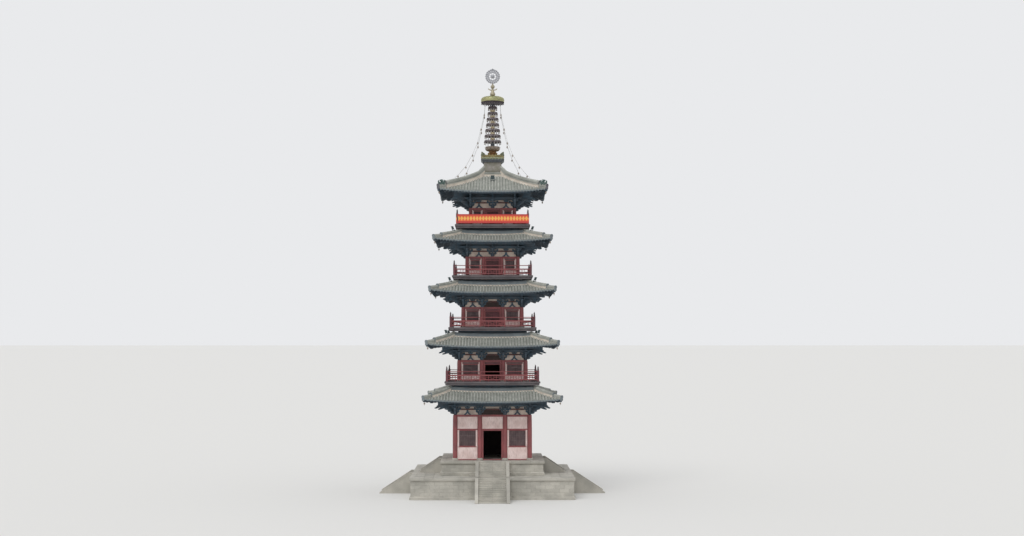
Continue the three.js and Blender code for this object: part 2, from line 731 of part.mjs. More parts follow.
function buildSpire() {
  add("roof_crown", roofCrown(), roofTile);
  add("spire_seat", spireSeat(), iron);
  add("spire_lotus_base", lotusBase(), gilding);
  add("spire_mast_and_rings", mastAndRings(), bronze);
  add("spire_canopy", canopy(), gilding);
  add("spire_finial", finial(), bronze);
  const corners = { front_left: [-1, -1], front_right: [1, -1], back_right: [1, 1], back_left: [-1, 1] };
  for (const [name, [x, y]] of Object.entries(corners)) {
    add(`spire_chain_${name}`, chain(x, y), iron);
  }
}

// A plain cloth banner tied along the front of the highest balustrade
function buildBanner() {
  const face = -(DECK_HALF[TOP] - RAIL_INSET) - POST_HALF - BANNER.clearance;
  const z = [FLOOR[TOP] + BANNER.z[0], FLOOR[TOP] + BANNER.z[1]];
  const y = [face - BANNER.thickness, face];
  add("gallery_5_banner", join([box([-BANNER.half, BANNER.half], y, z)]), cloth);
}

buildBase();
buildStoreys();
buildSpire();
buildBanner();

export default pagoda;
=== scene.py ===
import itertools
import math

import bmesh
import bpy
import numpy as np
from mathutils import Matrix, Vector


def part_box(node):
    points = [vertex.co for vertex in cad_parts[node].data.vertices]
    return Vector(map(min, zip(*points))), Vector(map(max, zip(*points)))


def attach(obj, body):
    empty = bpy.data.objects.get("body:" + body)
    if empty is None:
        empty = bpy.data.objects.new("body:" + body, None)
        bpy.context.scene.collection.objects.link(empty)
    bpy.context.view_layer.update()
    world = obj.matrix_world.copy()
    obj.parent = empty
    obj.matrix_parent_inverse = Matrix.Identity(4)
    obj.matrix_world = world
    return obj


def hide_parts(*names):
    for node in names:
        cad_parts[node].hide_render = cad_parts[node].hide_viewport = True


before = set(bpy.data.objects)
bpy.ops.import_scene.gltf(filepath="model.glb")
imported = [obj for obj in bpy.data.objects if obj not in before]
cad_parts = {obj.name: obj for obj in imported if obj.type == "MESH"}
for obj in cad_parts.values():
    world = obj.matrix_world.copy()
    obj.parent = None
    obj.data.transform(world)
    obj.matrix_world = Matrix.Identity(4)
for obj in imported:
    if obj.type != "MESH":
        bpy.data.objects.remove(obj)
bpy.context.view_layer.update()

# Stone base
# A wide terrace and a plinth of grey granite ashlar, each with a stepped foot and coping, and a
# flight of solid treads between sloping cheek stones on every side. The stones are sawn, bush
# hammered and laid with thin mortar joints round a core of rubble in lime.
# The pagoda is a 1:2 model. Every size below is in metres of the real tower, the front faces -Y,
# and M turns them into the model's metres.
M = 0.5
SIDES = (0, 1, 2, 3)  # quarter turns that repeat a front piece on every side


def colour(code):
    """An sRGB hex colour as the linear one that shaders take."""
    parts = [int(code[k : k + 2], 16) / 255 for k in (1, 3, 5)]
    linear = [c / 12.92 if c <= 0.04045 else ((c + 0.055) / 1.055) ** 2.4 for c in parts]
    return (*linear, 1.0)


def node(tree, kind, inputs=None, **settings):
    """Adds a shader node. Each input is a value, or the output socket that feeds it."""
    made = tree.nodes.new("ShaderNode" + kind)
    for name, value in settings.items():
        setattr(made, name, value)
    for key, value in (inputs or {}).items():
        socket = made.inputs[key]
        if isinstance(value, bpy.types.NodeSocket):
            tree.links.new(value, socket)
        else:
            socket.default_value = value
    return made


def weathered(name, tones, patch_mm, grain_mm, stretch=(1, 1, 1), dirt=0.5, each=0.1,
              rough=0.8, metal=0.0, relief_mm=2.0, ior=1.5):
    """A finish in three tones: the sound one, the worn one in patches and the dirt in the grain.
    Every loose piece of a mesh is a little lighter or darker than the next. Lengths are real, but
    a grain too fine to show from far off is drawn coarser than it is."""
    material = bpy.data.materials.new(name)
    material.use_nodes = True
    tree = material.node_tree
    tree.nodes.clear()
    sound, worn, grime = (colour(tone) for tone in tones)
    place = node(tree, "TexCoord").outputs["Object"]
    drawn = node(tree, "Mapping", {"Vector": place, "Scale": stretch}).outputs[0]
    per_patch = 1000 / (patch_mm * M)
    per_grain = 1000 / (grain_mm * M)
    patches = node(tree, "TexNoise", {"Vector": place, "Scale": per_patch, "Detail": 4.0}).outputs[0]
    grain = node(tree, "TexNoise", {"Vector": drawn, "Scale": per_grain, "Detail": 3.0}).outputs[0]
    wear = node(tree, "MapRange", {"Value": patches, "From Min": 0.4, "From Max": 0.62}).outputs[0]
    soil = node(tree, "MapRange", {"Value": grain, "From Min": 0.48, "From Max": 0.75, "To Max": dirt})
    base = node(tree, "Mix", {"Factor": wear, 6: sound, 7: worn}, data_type="RGBA").outputs[2]
    dirty = node(tree, "Mix", {"Factor": soil.outputs[0], 6: base, 7: grime}, data_type="RGBA")
    loose = node(tree, "NewGeometry").outputs["Random Per Island"]
    tone = node(tree, "MapRange", {"Value": loose, "To Min": 1 - each, "To Max": 1 + each})
    toned = node(tree, "HueSaturation", {"Value": tone.outputs[0], "Color": dirty.outputs[2]})
    gloss = node(tree, "MapRange", {"Value": grain, "To Min": rough - 0.1, "To Max": rough + 0.1})
    relief = node(
        tree, "Bump", {"Height": grain, "Strength": 0.7, "Distance": relief_mm * M / 1000}
    )
    shader = node(
        tree,
        "BsdfPrincipled",
        {
            "Base Color": toned.outputs[0],
            "Roughness": gloss.outputs[0],
            "Normal": relief.outputs[0],
            "Metallic": metal,
            "IOR": ior,
        },
    )
    node(tree, "OutputMaterial", {"Surface": shader.outputs[0]})
    return material


def loft(rings, around=True, caps=True, wrap=False):
    """A skin through rings of points. Around closes each ring, caps fill the two end rings, and
    wrap joins the last ring to the first."""
    rings = np.asarray(rings, float)
    rows, size = rings.shape[:2]
    steps = size if around else size - 1
    faces = []
    for row in range(rows if wrap else rows - 1):
        here = row * size
        there = (row + 1) % rows * size
        for k in range(steps):
            near = (k + 1) % size
            faces.append((here + k, here + near, there + near, there + k))
    if caps and not wrap:
        faces.append(tuple(range(size - 1, -1, -1)))
        faces.append(tuple(range((rows - 1) * size, rows * size)))
    return rings.reshape(-1, 3), faces


def placed(shape, move=(0, 0, 0), turn=0.0, size=1.0):
    """A copy of a shape, sized, turned about Z by an angle in radians and then moved."""
    points, faces = shape
    c, s = math.cos(turn), math.sin(turn)
    spin = np.array([[c, s, 0], [-s, c, 0], [0, 0, 1]])
    return np.asarray(points, float) @ spin * size + np.asarray(move, float), faces


def block(x, y, z, ease=0.0):
    """A squared stone or timber between two limits on each axis, with its edges eased."""
    limits = (x, y, z)
    if not ease:
        rings = [[(x[0], y[0], h), (x[1], y[0], h), (x[1], y[1], h), (x[0], y[1], h)] for h in z]
        return loft(rings)
    index = {}
    points = []
    faces = []
    for corner in itertools.product((0, 1), repeat=3):
        for axis in range(3):
            index[corner, axis] = len(points)
            inset = [0 if k == axis else ease * (1 - 2 * corner[k]) for k in range(3)]
            points.append([limits[k][corner[k]] + inset[k] for k in range(3)])
        faces.append([index[corner, axis] for axis in range(3)])
    for axis in range(3):
        b, c = [k for k in range(3) if k != axis]

        def at(value, vb, vc):
            corner = [0, 0, 0]
            corner[axis], corner[b], corner[c] = value, vb, vc
            return tuple(corner)

        for value in (0, 1):
            round_face = [at(value, vb, vc) for vb, vc in ((0, 0), (1, 0), (1, 1), (0, 1))]
            faces.append([index[corner, axis] for corner in round_face])
        for vb, vc in itertools.product((0, 1), repeat=2):
            low, high = at(0, vb, vc), at(1, vb, vc)
            faces.append([index[low, b], index[high, b], index[high, c], index[low, c]])
    return np.array(points), faces


def board(outline, half, at=0.0):
    """A board cut to an outline of (distance out, height) points and set square to the front."""
    return loft([[(at + side * half, -out, z) for out, z in outline] for side in (-1, 1)])


class Gathered:
    """Shapes gathered into one mesh."""

    def __init__(self):
        self.points = []
        self.faces = []
        self.count = 0

    def put(self, shape, turns=(0,)):
        for turn in turns:
            points, faces = placed(shape, turn=turn * math.pi / 2)
            self.points.append(points)
            self.faces.extend(tuple(self.count + k for k in face) for face in faces)
            self.count += len(points)


def make(name, parts, material, nodes=(), closed=True, crease=35):
    """One object from gathered shapes: it rides on the pagoda and stands for the nodes named."""
    mesh = bpy.data.meshes.new(name)
    mesh.from_pydata(np.concatenate(parts.points) * M, [], parts.faces)
    if closed:
        shell = bmesh.new()
        shell.from_mesh(mesh)
        bmesh.ops.recalc_face_normals(shell, faces=shell.faces)
        shell.to_mesh(mesh)
        shell.free()
    mesh.polygons.foreach_set("use_smooth", [True] * len(mesh.polygons))
    mesh.set_sharp_from_angle(angle=math.radians(crease))
    mesh.materials.append(material)
    piece = bpy.data.objects.new(name, mesh)
    bpy.context.scene.collection.objects.link(piece)
    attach(piece, "root")
    if nodes:
        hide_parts(*nodes)
    return piece


def real_box(name):
    """Lowest and highest corner of a solid, in metres of the real tower."""
    return [[value / M for value in corner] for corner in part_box(name)]


terrace_half, _, terrace_top = real_box("lower_terrace")[1]
plinth_half, _, plinth_top = real_box("upper_plinth")[1]
MOULDING = 0.12  # how far the foot and the coping stand out
FOOT_HEIGHT = 0.22
BEVEL_HEIGHT = 0.12
COURSE_HEIGHT = 0.34
STONE_LENGTH = 0.92
STONE_DEPTH = 0.5
STONE_EASE = 0.014
JOINT = 0.005
SLAB_SIZE = 0.86
SLAB_DEPTH = 0.08
SLAB_EASE = 0.008
RISER = 0.17
TREAD = 0.27
NOSING = 0.015
TREAD_EASE = 0.01
STEPS_HALF = 1.3
CHEEK = 0.32
CHEEK_COPING = 0.1

# Fine-grained grey granite: speckled, matt, darker where rain and moss have stained it
granite = weathered(
    "bush_hammered_granite", ("#b9b5ab", "#a5a299", "#77756c"), patch_mm=1400, grain_mm=26,
    dirt=0.55, each=0.09, rough=0.86, relief_mm=2.5,
)


def course(stones, low, high, z, bond):
    """One course of stones round the four sides. Its face leans from low to high, which are the
    distances from the axis at its foot and its top."""
    count = round(2 * low / STONE_LENGTH)
    cuts = [-1 + (2 * k + bond) / count for k in range(count)]
    cuts = [-1.0] + [u for u in cuts if abs(u) < 0.97] + [1.0]
    for start, end in zip(cuts, cuts[1:]):
        rings = []
        for back, ease in ((STONE_DEPTH, 0.0), (STONE_EASE, 0.0), (0.0, STONE_EASE)):
            ring = []
            for reach, height, lift in ((low, z[0], ease), (high, z[1], -ease)):
                d = reach - back
                left = -d if start == -1 else start * low + JOINT / 2 + ease
                right = d if end == 1 else end * low - JOINT / 2 - ease
                pair = [(left, -d, height + lift), (right, -d, height + lift)]
                ring.extend(pair if height == z[0] else pair[::-1])
            rings.append(ring)
        stones.put(loft(rings), SIDES)


def masonry(stones, half, bottom, top):
    """A block of coursed stone with a stepped foot and coping."""
    die = half - MOULDING
    course(stones, half, half, (bottom, bottom + FOOT_HEIGHT), 0)
    course(stones, half, die, (bottom + FOOT_HEIGHT, bottom + FOOT_HEIGHT + BEVEL_HEIGHT), 1)
    low = bottom + FOOT_HEIGHT + BEVEL_HEIGHT
    high = top - FOOT_HEIGHT - BEVEL_HEIGHT
    rows = round((high - low) / COURSE_HEIGHT)
    for row in range(rows):
        z = (low + (high - low) * row / rows, low + (high - low) * (row + 1) / rows)
        course(stones, die, die, z, row % 2)
    course(stones, die, half, (high, top - FOOT_HEIGHT), 0)
    course(stones, half, half, (top - FOOT_HEIGHT, top), 1)
    core = die - STONE_DEPTH
    stones.put(block((-core, core), (-core, core), (bottom, top - SLAB_DEPTH)))


def paving(stones, half, top, hole):
    """Square slabs inside the coping, left out where something stands on them."""
    count = round(2 * half / SLAB_SIZE)
    size = 2 * half / count
    for i, j in itertools.product(range(count), repeat=2):
        x, y = -half + i * size, -half + j * size
        if max(abs(x), abs(x + size), abs(y), abs(y + size)) < hole:
            continue
        slab = ((x + JOINT, x + size - JOINT), (y + JOINT, y + size - JOINT))
        stones.put(block(*slab, (top - SLAB_DEPTH, top - 0.003), SLAB_EASE))


def flight(steps, nearest, bottom, top):
    """Treads between two sloping cheek stones, climbing to the front edge."""
    risers = round((top - bottom) / RISER)
    back = nearest - MOULDING - 0.02
    for step in range(1, risers):
        z = bottom + (risers - step) * RISER
        out = nearest + step * TREAD
        inner = nearest if step == 1 else back
        for half in ((-STEPS_HALF, 0), (0, STEPS_HALF)):
            x = (half[0] + JOINT / 2, half[1] - JOINT / 2)
            tread = (x, (-out - NOSING, -inner), (z - RISER + 0.004, z))
            steps.put(block(*tread, TREAD_EASE), SIDES)
    foot = nearest + (risers - 1) * TREAD + TREAD
    tucked = top - FOOT_HEIGHT - BEVEL_HEIGHT
    under = top - CHEEK_COPING
    cheek = [
        (back, bottom), (back, tucked), (nearest, tucked), (nearest, under),
        (nearest + TREAD, under), (foot - 0.02, bottom),
    ]
    coping = [
        (nearest, under), (nearest, top), (nearest + TREAD, top), (foot, bottom + CHEEK_COPING),
        (foot, bottom), (foot - 0.04, bottom), (nearest + TREAD, under),
    ]
    for side in (-1, 1):
        middle = side * (STEPS_HALF + CHEEK / 2)
        steps.put(board(cheek, CHEEK / 2 - 0.02, middle), SIDES)
        steps.put(board(coping, CHEEK / 2, middle), SIDES)


stones = Gathered()
masonry(stones, terrace_half, 0.0, terrace_top)
paving(stones, terrace_half - STONE_DEPTH, terrace_top, plinth_half)
make("lower_terrace_stones", stones, granite, ["lower_terrace"])

stones = Gathered()
masonry(stones, plinth_half, terrace_top, plinth_top)
paving(stones, plinth_half - STONE_DEPTH, plinth_top, 0)
make("upper_plinth_stones", stones, granite, ["upper_plinth"])

AROUND = ("front", "right", "back", "left")
stones = Gathered()
flight(stones, terrace_half, 0.0, terrace_top)
make("lower_step_stones", stones, granite, [f"lower_steps_{side}" for side in AROUND])
stones = Gathered()
flight(stones, plinth_half, terrace_top, plinth_top)
make("upper_step_stones", stones, granite, [f"upper_steps_{side}" for side in AROUND])

# Columns and lintels
# Twelve turned columns a storey stand on stone pads, with a lintel at their heads and a sill at
# the floor. The ground storey has a second lintel over its doors. All is fir under red iron-oxide
# lacquer that has faded and dulled outdoors.
STOREYS = range(5)
COLUMN_RADIUS = [0.23, 0.21, 0.2, 0.18, 0.17]
DOOR_COLUMN = [1.22, 1.04, 1.0, 0.9, 0.82]  # axis to the columns beside a door
DOOR_HEIGHT = [2.9, 1.68, 1.62, 1.56, 1.42]
floor_level = [plinth_top] + [real_box(f"gallery_{i + 1}_floor")[1][2] for i in STOREYS[1:]]
column_top = [real_box(f"storey_{i + 1}_columns")[1][2] for i in STOREYS]
column_line = [real_box(f"storey_{i + 1}_columns")[1][0] - COLUMN_RADIUS[i] for i in STOREYS]
LINTEL_DEPTH = 0.2
LINTEL_HALF = 0.1
DOOR_HEAD_DEPTH = 0.12
SILL_HEIGHT = 0.1
PAD_HEIGHT = [0.2, 0.07, 0.07, 0.07, 0.07]

# Faded lacquer: satin, streaked down the grain, brownish where it has worn thin
red_lacquer = weathered(
    "faded_red_lacquer", ("#9c5455", "#8a4f50", "#5a3d3e"), patch_mm=900, grain_mm=45,
    stretch=(1, 1, 0.12), each=0.06, rough=0.55, relief_mm=1.2,
)


def turned(profile, sides=24, square=False, centre=(0.0, 0.0)):
    """A shape turned on an upright axis, from (radius, height) points. A square one has four
    flat sides, and the radius is its half width."""
    count = 4 if square else sides
    reach = math.sqrt(2) if square else 1
    angles = [math.pi / 4 + 2 * math.pi * k / count for k in range(count)]
    x, y = centre
    return loft(
        [
            [(x + r * reach * math.cos(a), y + r * reach * math.sin(a), z) for a in angles]
            for r, z in profile
        ]
    )


def ring_beam(parts, inner, outer, z, ease=0.012):
    """A beam along each side, two of them running through at the corners."""
    for turns, end in (((0, 2), outer), ((1, 3), inner - 0.002)):
        parts.put(block((-end, end), (-outer, -inner), z, ease), turns)


for i in STOREYS:
    line, radius, foot, head = column_line[i], COLUMN_RADIUS[i], floor_level[i], column_top[i]
    timber, pads = Gathered(), Gathered()
    pad, tall = PAD_HEIGHT[i], head - foot
    shaft = [
        (radius * 0.96, foot + pad),
        (radius, foot + pad + tall * 0.1),
        (radius, foot + tall * 0.55),
        (radius * 0.96, foot + tall * 0.85),
        (radius * 0.88, head - 0.03),
    ]
    foot_stone = [
        (radius * 1.35, foot),
        (radius * 1.42, foot + pad * 0.45),
        (radius * 1.3, foot + pad * 0.85),
        (radius * 1.12, foot + pad),
    ]
    for x in (-line, -DOOR_COLUMN[i], DOOR_COLUMN[i]):
        timber.put(turned(shaft, 24, centre=(x, -line)), SIDES)
        pads.put(turned(foot_stone, 24, centre=(x, -line)), SIDES)
    ring_beam(timber, line - LINTEL_HALF, line + LINTEL_HALF, (head - LINTEL_DEPTH, head))
    if i == 0:
        door_head = foot + DOOR_HEIGHT[i]
        ring_beam(timber, line - 0.06, line + 0.09, (door_head, door_head + DOOR_HEAD_DEPTH))
    for x in ((-line, -DOOR_COLUMN[i]), (DOOR_COLUMN[i], line)):
        timber.put(block(x, (-line - 0.1, -line + 0.08), (foot, foot + SILL_HEIGHT), 0.01), SIDES)
    name = f"storey_{i + 1}"
    make(f"{name}_timber_frame", timber, red_lacquer, [f"{name}_columns"])
    make(f"{name}_column_pads", pads, granite)

# Plaster walls
# Brick between the columns, under two coats of lime plaster floated smooth. The solids already
# have the right shape, so they only take their finish here.

# Lime plaster: matt, off-white with a pink cast, dull where rain has run down it
lime_plaster = weathered(
    "lime_plaster", ("#efdad5", "#dfc6c0", "#a38a84"), patch_mm=700, grain_mm=60,
    stretch=(1, 1, 0.15), each=0.0, rough=0.92, relief_mm=1.0,
)


def finish(name, material):
    """Gives a solid that is used as it stands its finish."""
    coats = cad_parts[name].data.materials
    coats.clear()
    coats.append(material)


for i in STOREYS:
    finish(f"storey_{i + 1}_plaster_walls", lime_plaster)

# Doors and windows
# A window is a lacquered frame round upright square bars set cornerwise, with a shutter behind. A
# door is two leaves of planks nailed to ledges, with iron studs and a ring. On the upper storeys
# a boarded transom closes the height over each. The two lowest front doors stand folded back.
WALL_OUTSIDE = 0.07
WALL_INSIDE = 0.3
PLASTER_STRIP = 0.08
DOOR_POST = 0.1
WINDOW_BOTTOM = [1.3, 0.66, 0.64, 0.6, 0.56]
FRAME_WIDTH = 0.075
FRAME_EASE = 0.008
BAR_HALF = 0.024
BAR_SPACING = 0.092
BAR_DEPTH = 0.07  # bars' middle behind the frame's face
TIE_HALF = 0.012
LEAF_PLANKS = 5
PLANK_THICK = 0.05
LEDGE_THICK = 0.022
LEDGE_HALF = 0.045
PULL_RADIUS = 0.07
PULL_WIRE = 0.011
LINING_BOARD = 0.24
OPEN_STOREYS = (0, 1)

# The leaves' lacquer: a duller oxide red, painted darker as the shade of the doorways; the transoms over
# the doors and the gallery corner posts take it for their shade too
door_lacquer_and_shade = weathered(
    "door_lacquer_painted_shade", ("#6c3b41", "#5d353a", "#382628"), patch_mm=600, grain_mm=40,
    stretch=(1, 1, 0.1), dirt=0.55, each=0.08, rough=0.58, relief_mm=1.5,
)
# A thin grey-brown wash on old timber makes the bars dull and a little paler than the shutters
bar_paint = weathered(
    "grey_brown_bar_wash", ("#867677", "#746668", "#483f40"), patch_mm=400, grain_mm=30,
    stretch=(1, 1, 0.1), each=0.12, rough=0.75,
)
# Shutters in the same lacquer as the frames, faded by the light between the bars
shutter_paint = weathered(
    "faded_shutter_lacquer", ("#7c6060", "#6b5353", "#443535"), patch_mm=500, grain_mm=35,
    stretch=(1, 1, 0.08), rough=0.7,
)
# Oiled boards that line the rooms, painted almost black as the shade inside the rooms and behind the
# openings
painted_shade_boards = weathered(
    "lining_boards_painted_shade", ("#3a2a26", "#30231f", "#1d1614"), patch_mm=500, grain_mm=35,
    stretch=(1, 1, 0.08), each=0.14, rough=0.7,
)
# Forged iron, blackened with oil and soot: dark, with a dull metal glint
black_iron = weathered(
    "blackened_iron", ("#45423f", "#5a4b40", "#2b2927"), patch_mm=200, grain_mm=15, dirt=0.4,
    each=0.05, rough=0.5, metal=0.9, relief_mm=0.6,
)


def panel(outline, y):
    """A board cut to an outline of (along, height) points, between two distances from the axis."""
    return loft([[(x, -out, z) for x, z in outline] for out in y])


def window(frames, bars, shutters, x, z, line):
    """A window between two limits along the wall and two heights, on all four sides."""
    face = line + WALL_OUTSIDE - 0.015
    back = line - 0.16
    for side in ((x[0], x[0] + FRAME_WIDTH), (x[1] - FRAME_WIDTH, x[1])):
        frames.put(block(side, (-face, -back), z, FRAME_EASE), SIDES)
    inner = (x[0] + FRAME_WIDTH, x[1] - FRAME_WIDTH)
    for rail in ((z[0], z[0] + FRAME_WIDTH), (z[1] - FRAME_WIDTH, z[1])):
        frames.put(block(inner, (-face, -back), rail, FRAME_EASE), SIDES)
    sill = ((x[0] - 0.04, x[1] + 0.04), (-face - 0.05, -face + 0.04), (z[0] - 0.06, z[0]))
    frames.put(block(*sill, 0.01), SIDES)
    low, high = z[0] + FRAME_WIDTH, z[1] - FRAME_WIDTH
    count = max(3, round((inner[1] - inner[0]) / BAR_SPACING))
    depth = face - BAR_DEPTH
    cornerwise = ((-BAR_HALF, 0), (0, -BAR_HALF), (BAR_HALF, 0), (0, BAR_HALF))
    for k in range(count):
        centre = inner[0] + (k + 0.5) * (inner[1] - inner[0]) / count
        ring = [(centre + dx, -depth + dy) for dx, dy in cornerwise]
        bars.put(loft([[(px, py, h) for px, py in ring] for h in (low, high)]), SIDES)
    for share in (0.33, 0.67):
        tie = low + (high - low) * share
        tie_y = (-depth - TIE_HALF, -depth + TIE_HALF)
        bars.put(block(inner, tie_y, (tie - 0.02, tie + 0.02)), SIDES)
    shutters.put(block(inner, (-line + 0.1, -line + 0.13), (low, high)), SIDES)


def transom(frames, boards, x, z, line):
    """A board between two stiles that closes the height over an opening, on all four sides."""
    inner = (x[0] + FRAME_WIDTH, x[1] - FRAME_WIDTH)
    for stile in ((x[0], inner[0]), (inner[1], x[1])):
        frames.put(block(stile, (-line - 0.095, -line - 0.04), z, 0.006), SIDES)
    boards.put(block(inner, (-line - 0.08, -line - 0.04), z), SIDES)


eighths = [k * math.pi / 4 for k in range(8)]
stud_rings = ((0.026, 0.0), (0.022, 0.012), (0.01, 0.019))
stud_head = loft([[(r * math.cos(a), -out, r * math.sin(a)) for a in eighths] for r, out in stud_rings])
pull_section = [
    (PULL_RADIUS + PULL_WIRE * math.cos(b), PULL_WIRE * math.sin(b))
    for b in [k * math.pi / 2 for k in range(4)]
]
ring_pull = loft(
    [
        [(r * math.cos(a), -0.02 + h, r * math.sin(a) - 0.06) for r, h in pull_section]
        for a in [k * math.pi / 8 for k in range(16)]
    ],
    wrap=True,
)


def door_leaf(leaves, studs, width, z):
    """One leaf, with its hinge edge at x 0 and its face at y 0."""
    for k in range(LEAF_PLANKS):
        x = (k * width / LEAF_PLANKS + 0.003, (k + 1) * width / LEAF_PLANKS - 0.003)
        leaves.append(block(x, (0.0, PLANK_THICK), z, 0.006))
    tall = z[1] - z[0]
    for share in (0.1, 0.5, 0.9):
        middle = z[0] + tall * share
        ledge = (middle - LEDGE_HALF, middle + LEDGE_HALF)
        leaves.append(block((0.01, width - 0.01), (-LEDGE_THICK, 0.0), ledge, 0.006))
        for k in range(LEAF_PLANKS):
            x = (k + 0.5) * width / LEAF_PLANKS
            studs.append(placed(stud_head, (x, -LEDGE_THICK, middle)))
    studs.append(placed(ring_pull, (width - 0.12, -0.02, z[0] + tall * 0.44)))


def mirrored(shape):
    """The shape's other hand."""
    points, faces = shape
    return np.asarray(points) * (-1, 1, 1), [tuple(reversed(face)) for face in faces]


for i in STOREYS:
    line, foot = column_line[i], floor_level[i]
    head = foot + DOOR_HEIGHT[i]
    frames, bars, shutters = Gathered(), Gathered(), Gathered()
    leaves, studs = Gathered(), Gathered()
    near = DOOR_COLUMN[i] + COLUMN_RADIUS[i] + PLASTER_STRIP
    far = line - COLUMN_RADIUS[i] - PLASTER_STRIP
    for x in ((near, far), (-far, -near)):
        window(frames, bars, shutters, x, (foot + WINDOW_BOTTOM[i], head), line)
    half = DOOR_COLUMN[i] - COLUMN_RADIUS[i] - DOOR_POST / 2
    clear = half - 0.07
    post_y = (-line - WALL_OUTSIDE - 0.012, -line + WALL_INSIDE)
    for side in (-1, 1):
        x = sorted((side * (half + DOOR_POST / 2 + 0.02), side * clear))
        frames.put(block(x, post_y, (foot, head), FRAME_EASE), SIDES)
    frames.put(block((-clear, clear), post_y, (head - 0.08, head), FRAME_EASE), SIDES)
    frames.put(block((-clear, clear), (-line - 0.03, -line + 0.12), (foot, foot + 0.09), 0.01), SIDES)
    face = line + WALL_OUTSIDE - 0.12
    leaf_z = (foot + 0.1, head - 0.085)
    plain_leaf, plain_studs = [], []
    door_leaf(plain_leaf, plain_studs, clear - 0.005, leaf_z)
    closed_sides = [turn for turn in SIDES if turn or i not in OPEN_STOREYS]
    for shapes, into in ((plain_leaf, leaves), (plain_studs, studs)):
        for shape in shapes:
            left = placed(shape, (-clear, -face, 0))
            into.put(left, closed_sides)
            into.put(mirrored(left), closed_sides)
            if i in OPEN_STOREYS:
                folded = placed(shape, (-clear, -line + WALL_INSIDE + 0.03, 0), turn=math.pi / 2)
                into.put(folded)
                into.put(mirrored(folded))
    back = line - WALL_INSIDE - 0.002
    wall_head = column_top[i] - LINTEL_DEPTH
    if i > 0:
        bay = half + DOOR_POST / 2
        # The transom over the door is boarded in the leaves' darker lacquer, as painted shade over the
        # doorway
        for x, boards in ((near, far), shutters), ((-far, -near), shutters), ((-bay, bay), leaves):
            transom(frames, boards, x, (head, wall_head), line)
    # The lining boards are near-black painted shade for the dark rooms behind the doors and windows
    lining = Gathered()
    count = round(2 * back / LINING_BOARD)
    for turn in SIDES:
        doorway = turn == 0 and i in OPEN_STOREYS
        for k in range(count):
            x = (-back + 2 * back * k / count, -back + 2 * back * (k + 1) / count)
            low = head if doorway and x[0] < half and x[1] > -half else foot
            lining.put(block(x, (-back, -back + 0.05), (low, wall_head), 0.004), (turn,))
    name = f"storey_{i + 1}"
    joinery = [f"{name}_doors_and_windows"]
    make(f"{name}_door_and_window_frames", frames, red_lacquer, joinery)
    make(f"{name}_window_bars", bars, bar_paint)
    make(f"{name}_window_shutters", shutters, shutter_paint)
    make(f"{name}_door_leaves", leaves, door_lacquer_and_shade)
    make(f"{name}_door_studs_and_rings", studs, black_iron)
    make(f"{name}_lining_boards", lining, painted_shade_boards)

# Roof surface
# The curve that the carpenters set out for every roof, and that rafters, boards and tiles follow.
# It sags between the ridge and the eave, and its edge sweeps up and out towards the corners.
EAVE_HALF = [6.62, 6.34, 6.06, 5.71, 5.32]  # axis to the corner tips
EAVE_LEVEL = [8.98, 14.23, 19.43, 24.38, 29.2]
SHELF_HALF = [4.15, 3.82, 3.52, 3.19, 1.03]  # axis to the top edge of the slope
SHELF_LIFT = [0.14, 0.14, 0.14, 0.14, 0.03]
SHELF_BELOW_FLOOR = 0.98
TOP_SHELF_LEVEL = 31.25
TILE_EDGE = 0.17
CORNER_REACH = 0.22
REACH_POWER = 3
CORNER_LIFT = 0.27
LIFT_POWER = 2.5
ROOF_HOLLOW = 0.42
ROOF_DEPTH = 0.36
CORNER_THINNING = 0.14
TOP = 4
shelf_level = [floor_level[i + 1] - SHELF_BELOW_FLOOR for i in range(TOP)] + [TOP_SHELF_LEVEL]


def eave_half(i, u):
    """Distance of the eave from the axis, u from -1 to 1 along the side."""
    return EAVE_HALF[i] - CORNER_REACH * (1 - np.abs(u) ** REACH_POWER)


def slope_height(i, t, u):
    """Height of the tiled surface, t from 0 at its top edge to 1 at the eave."""
    fall = t * (1 + ROOF_HOLLOW) - ROOF_HOLLOW * t * t
    lift = SHELF_LIFT[i] + (CORNER_LIFT - SHELF_LIFT[i]) * t
    drop = EAVE_LEVEL[i] + TILE_EDGE - shelf_level[i]
    return shelf_level[i] + drop * fall + lift * np.abs(u) ** LIFT_POWER


def tile_height(i, x, d):
    """Height of the tiled surface at x along the side and d out from the axis."""
    u = np.clip(x / d, -1, 1)
    t = (d - SHELF_HALF[i]) / (eave_half(i, u) - SHELF_HALF[i])
    return slope_height(i, t, u)


def under_height(i, x, d):
    """Height of the underside, which is straight from the wall side of the slope to the eave."""
    u = np.clip(x / d, -1, 1)
    t = np.maximum(0, (d - SHELF_HALF[i]) / (eave_half(i, u) - SHELF_HALF[i]))
    top = slope_height(i, 0.0, u)
    depth = ROOF_DEPTH - CORNER_THINNING * t * np.abs(u) ** LIFT_POWER
    return top + (slope_height(i, 1.0, u) - top) * t - depth


def eave_at(i, x):
    """Distance of the eave from the axis, at x along the side."""
    d = EAVE_HALF[i]
    for _ in range(12):
        d = float(eave_half(i, min(1.0, abs(x) / d)))
    return d


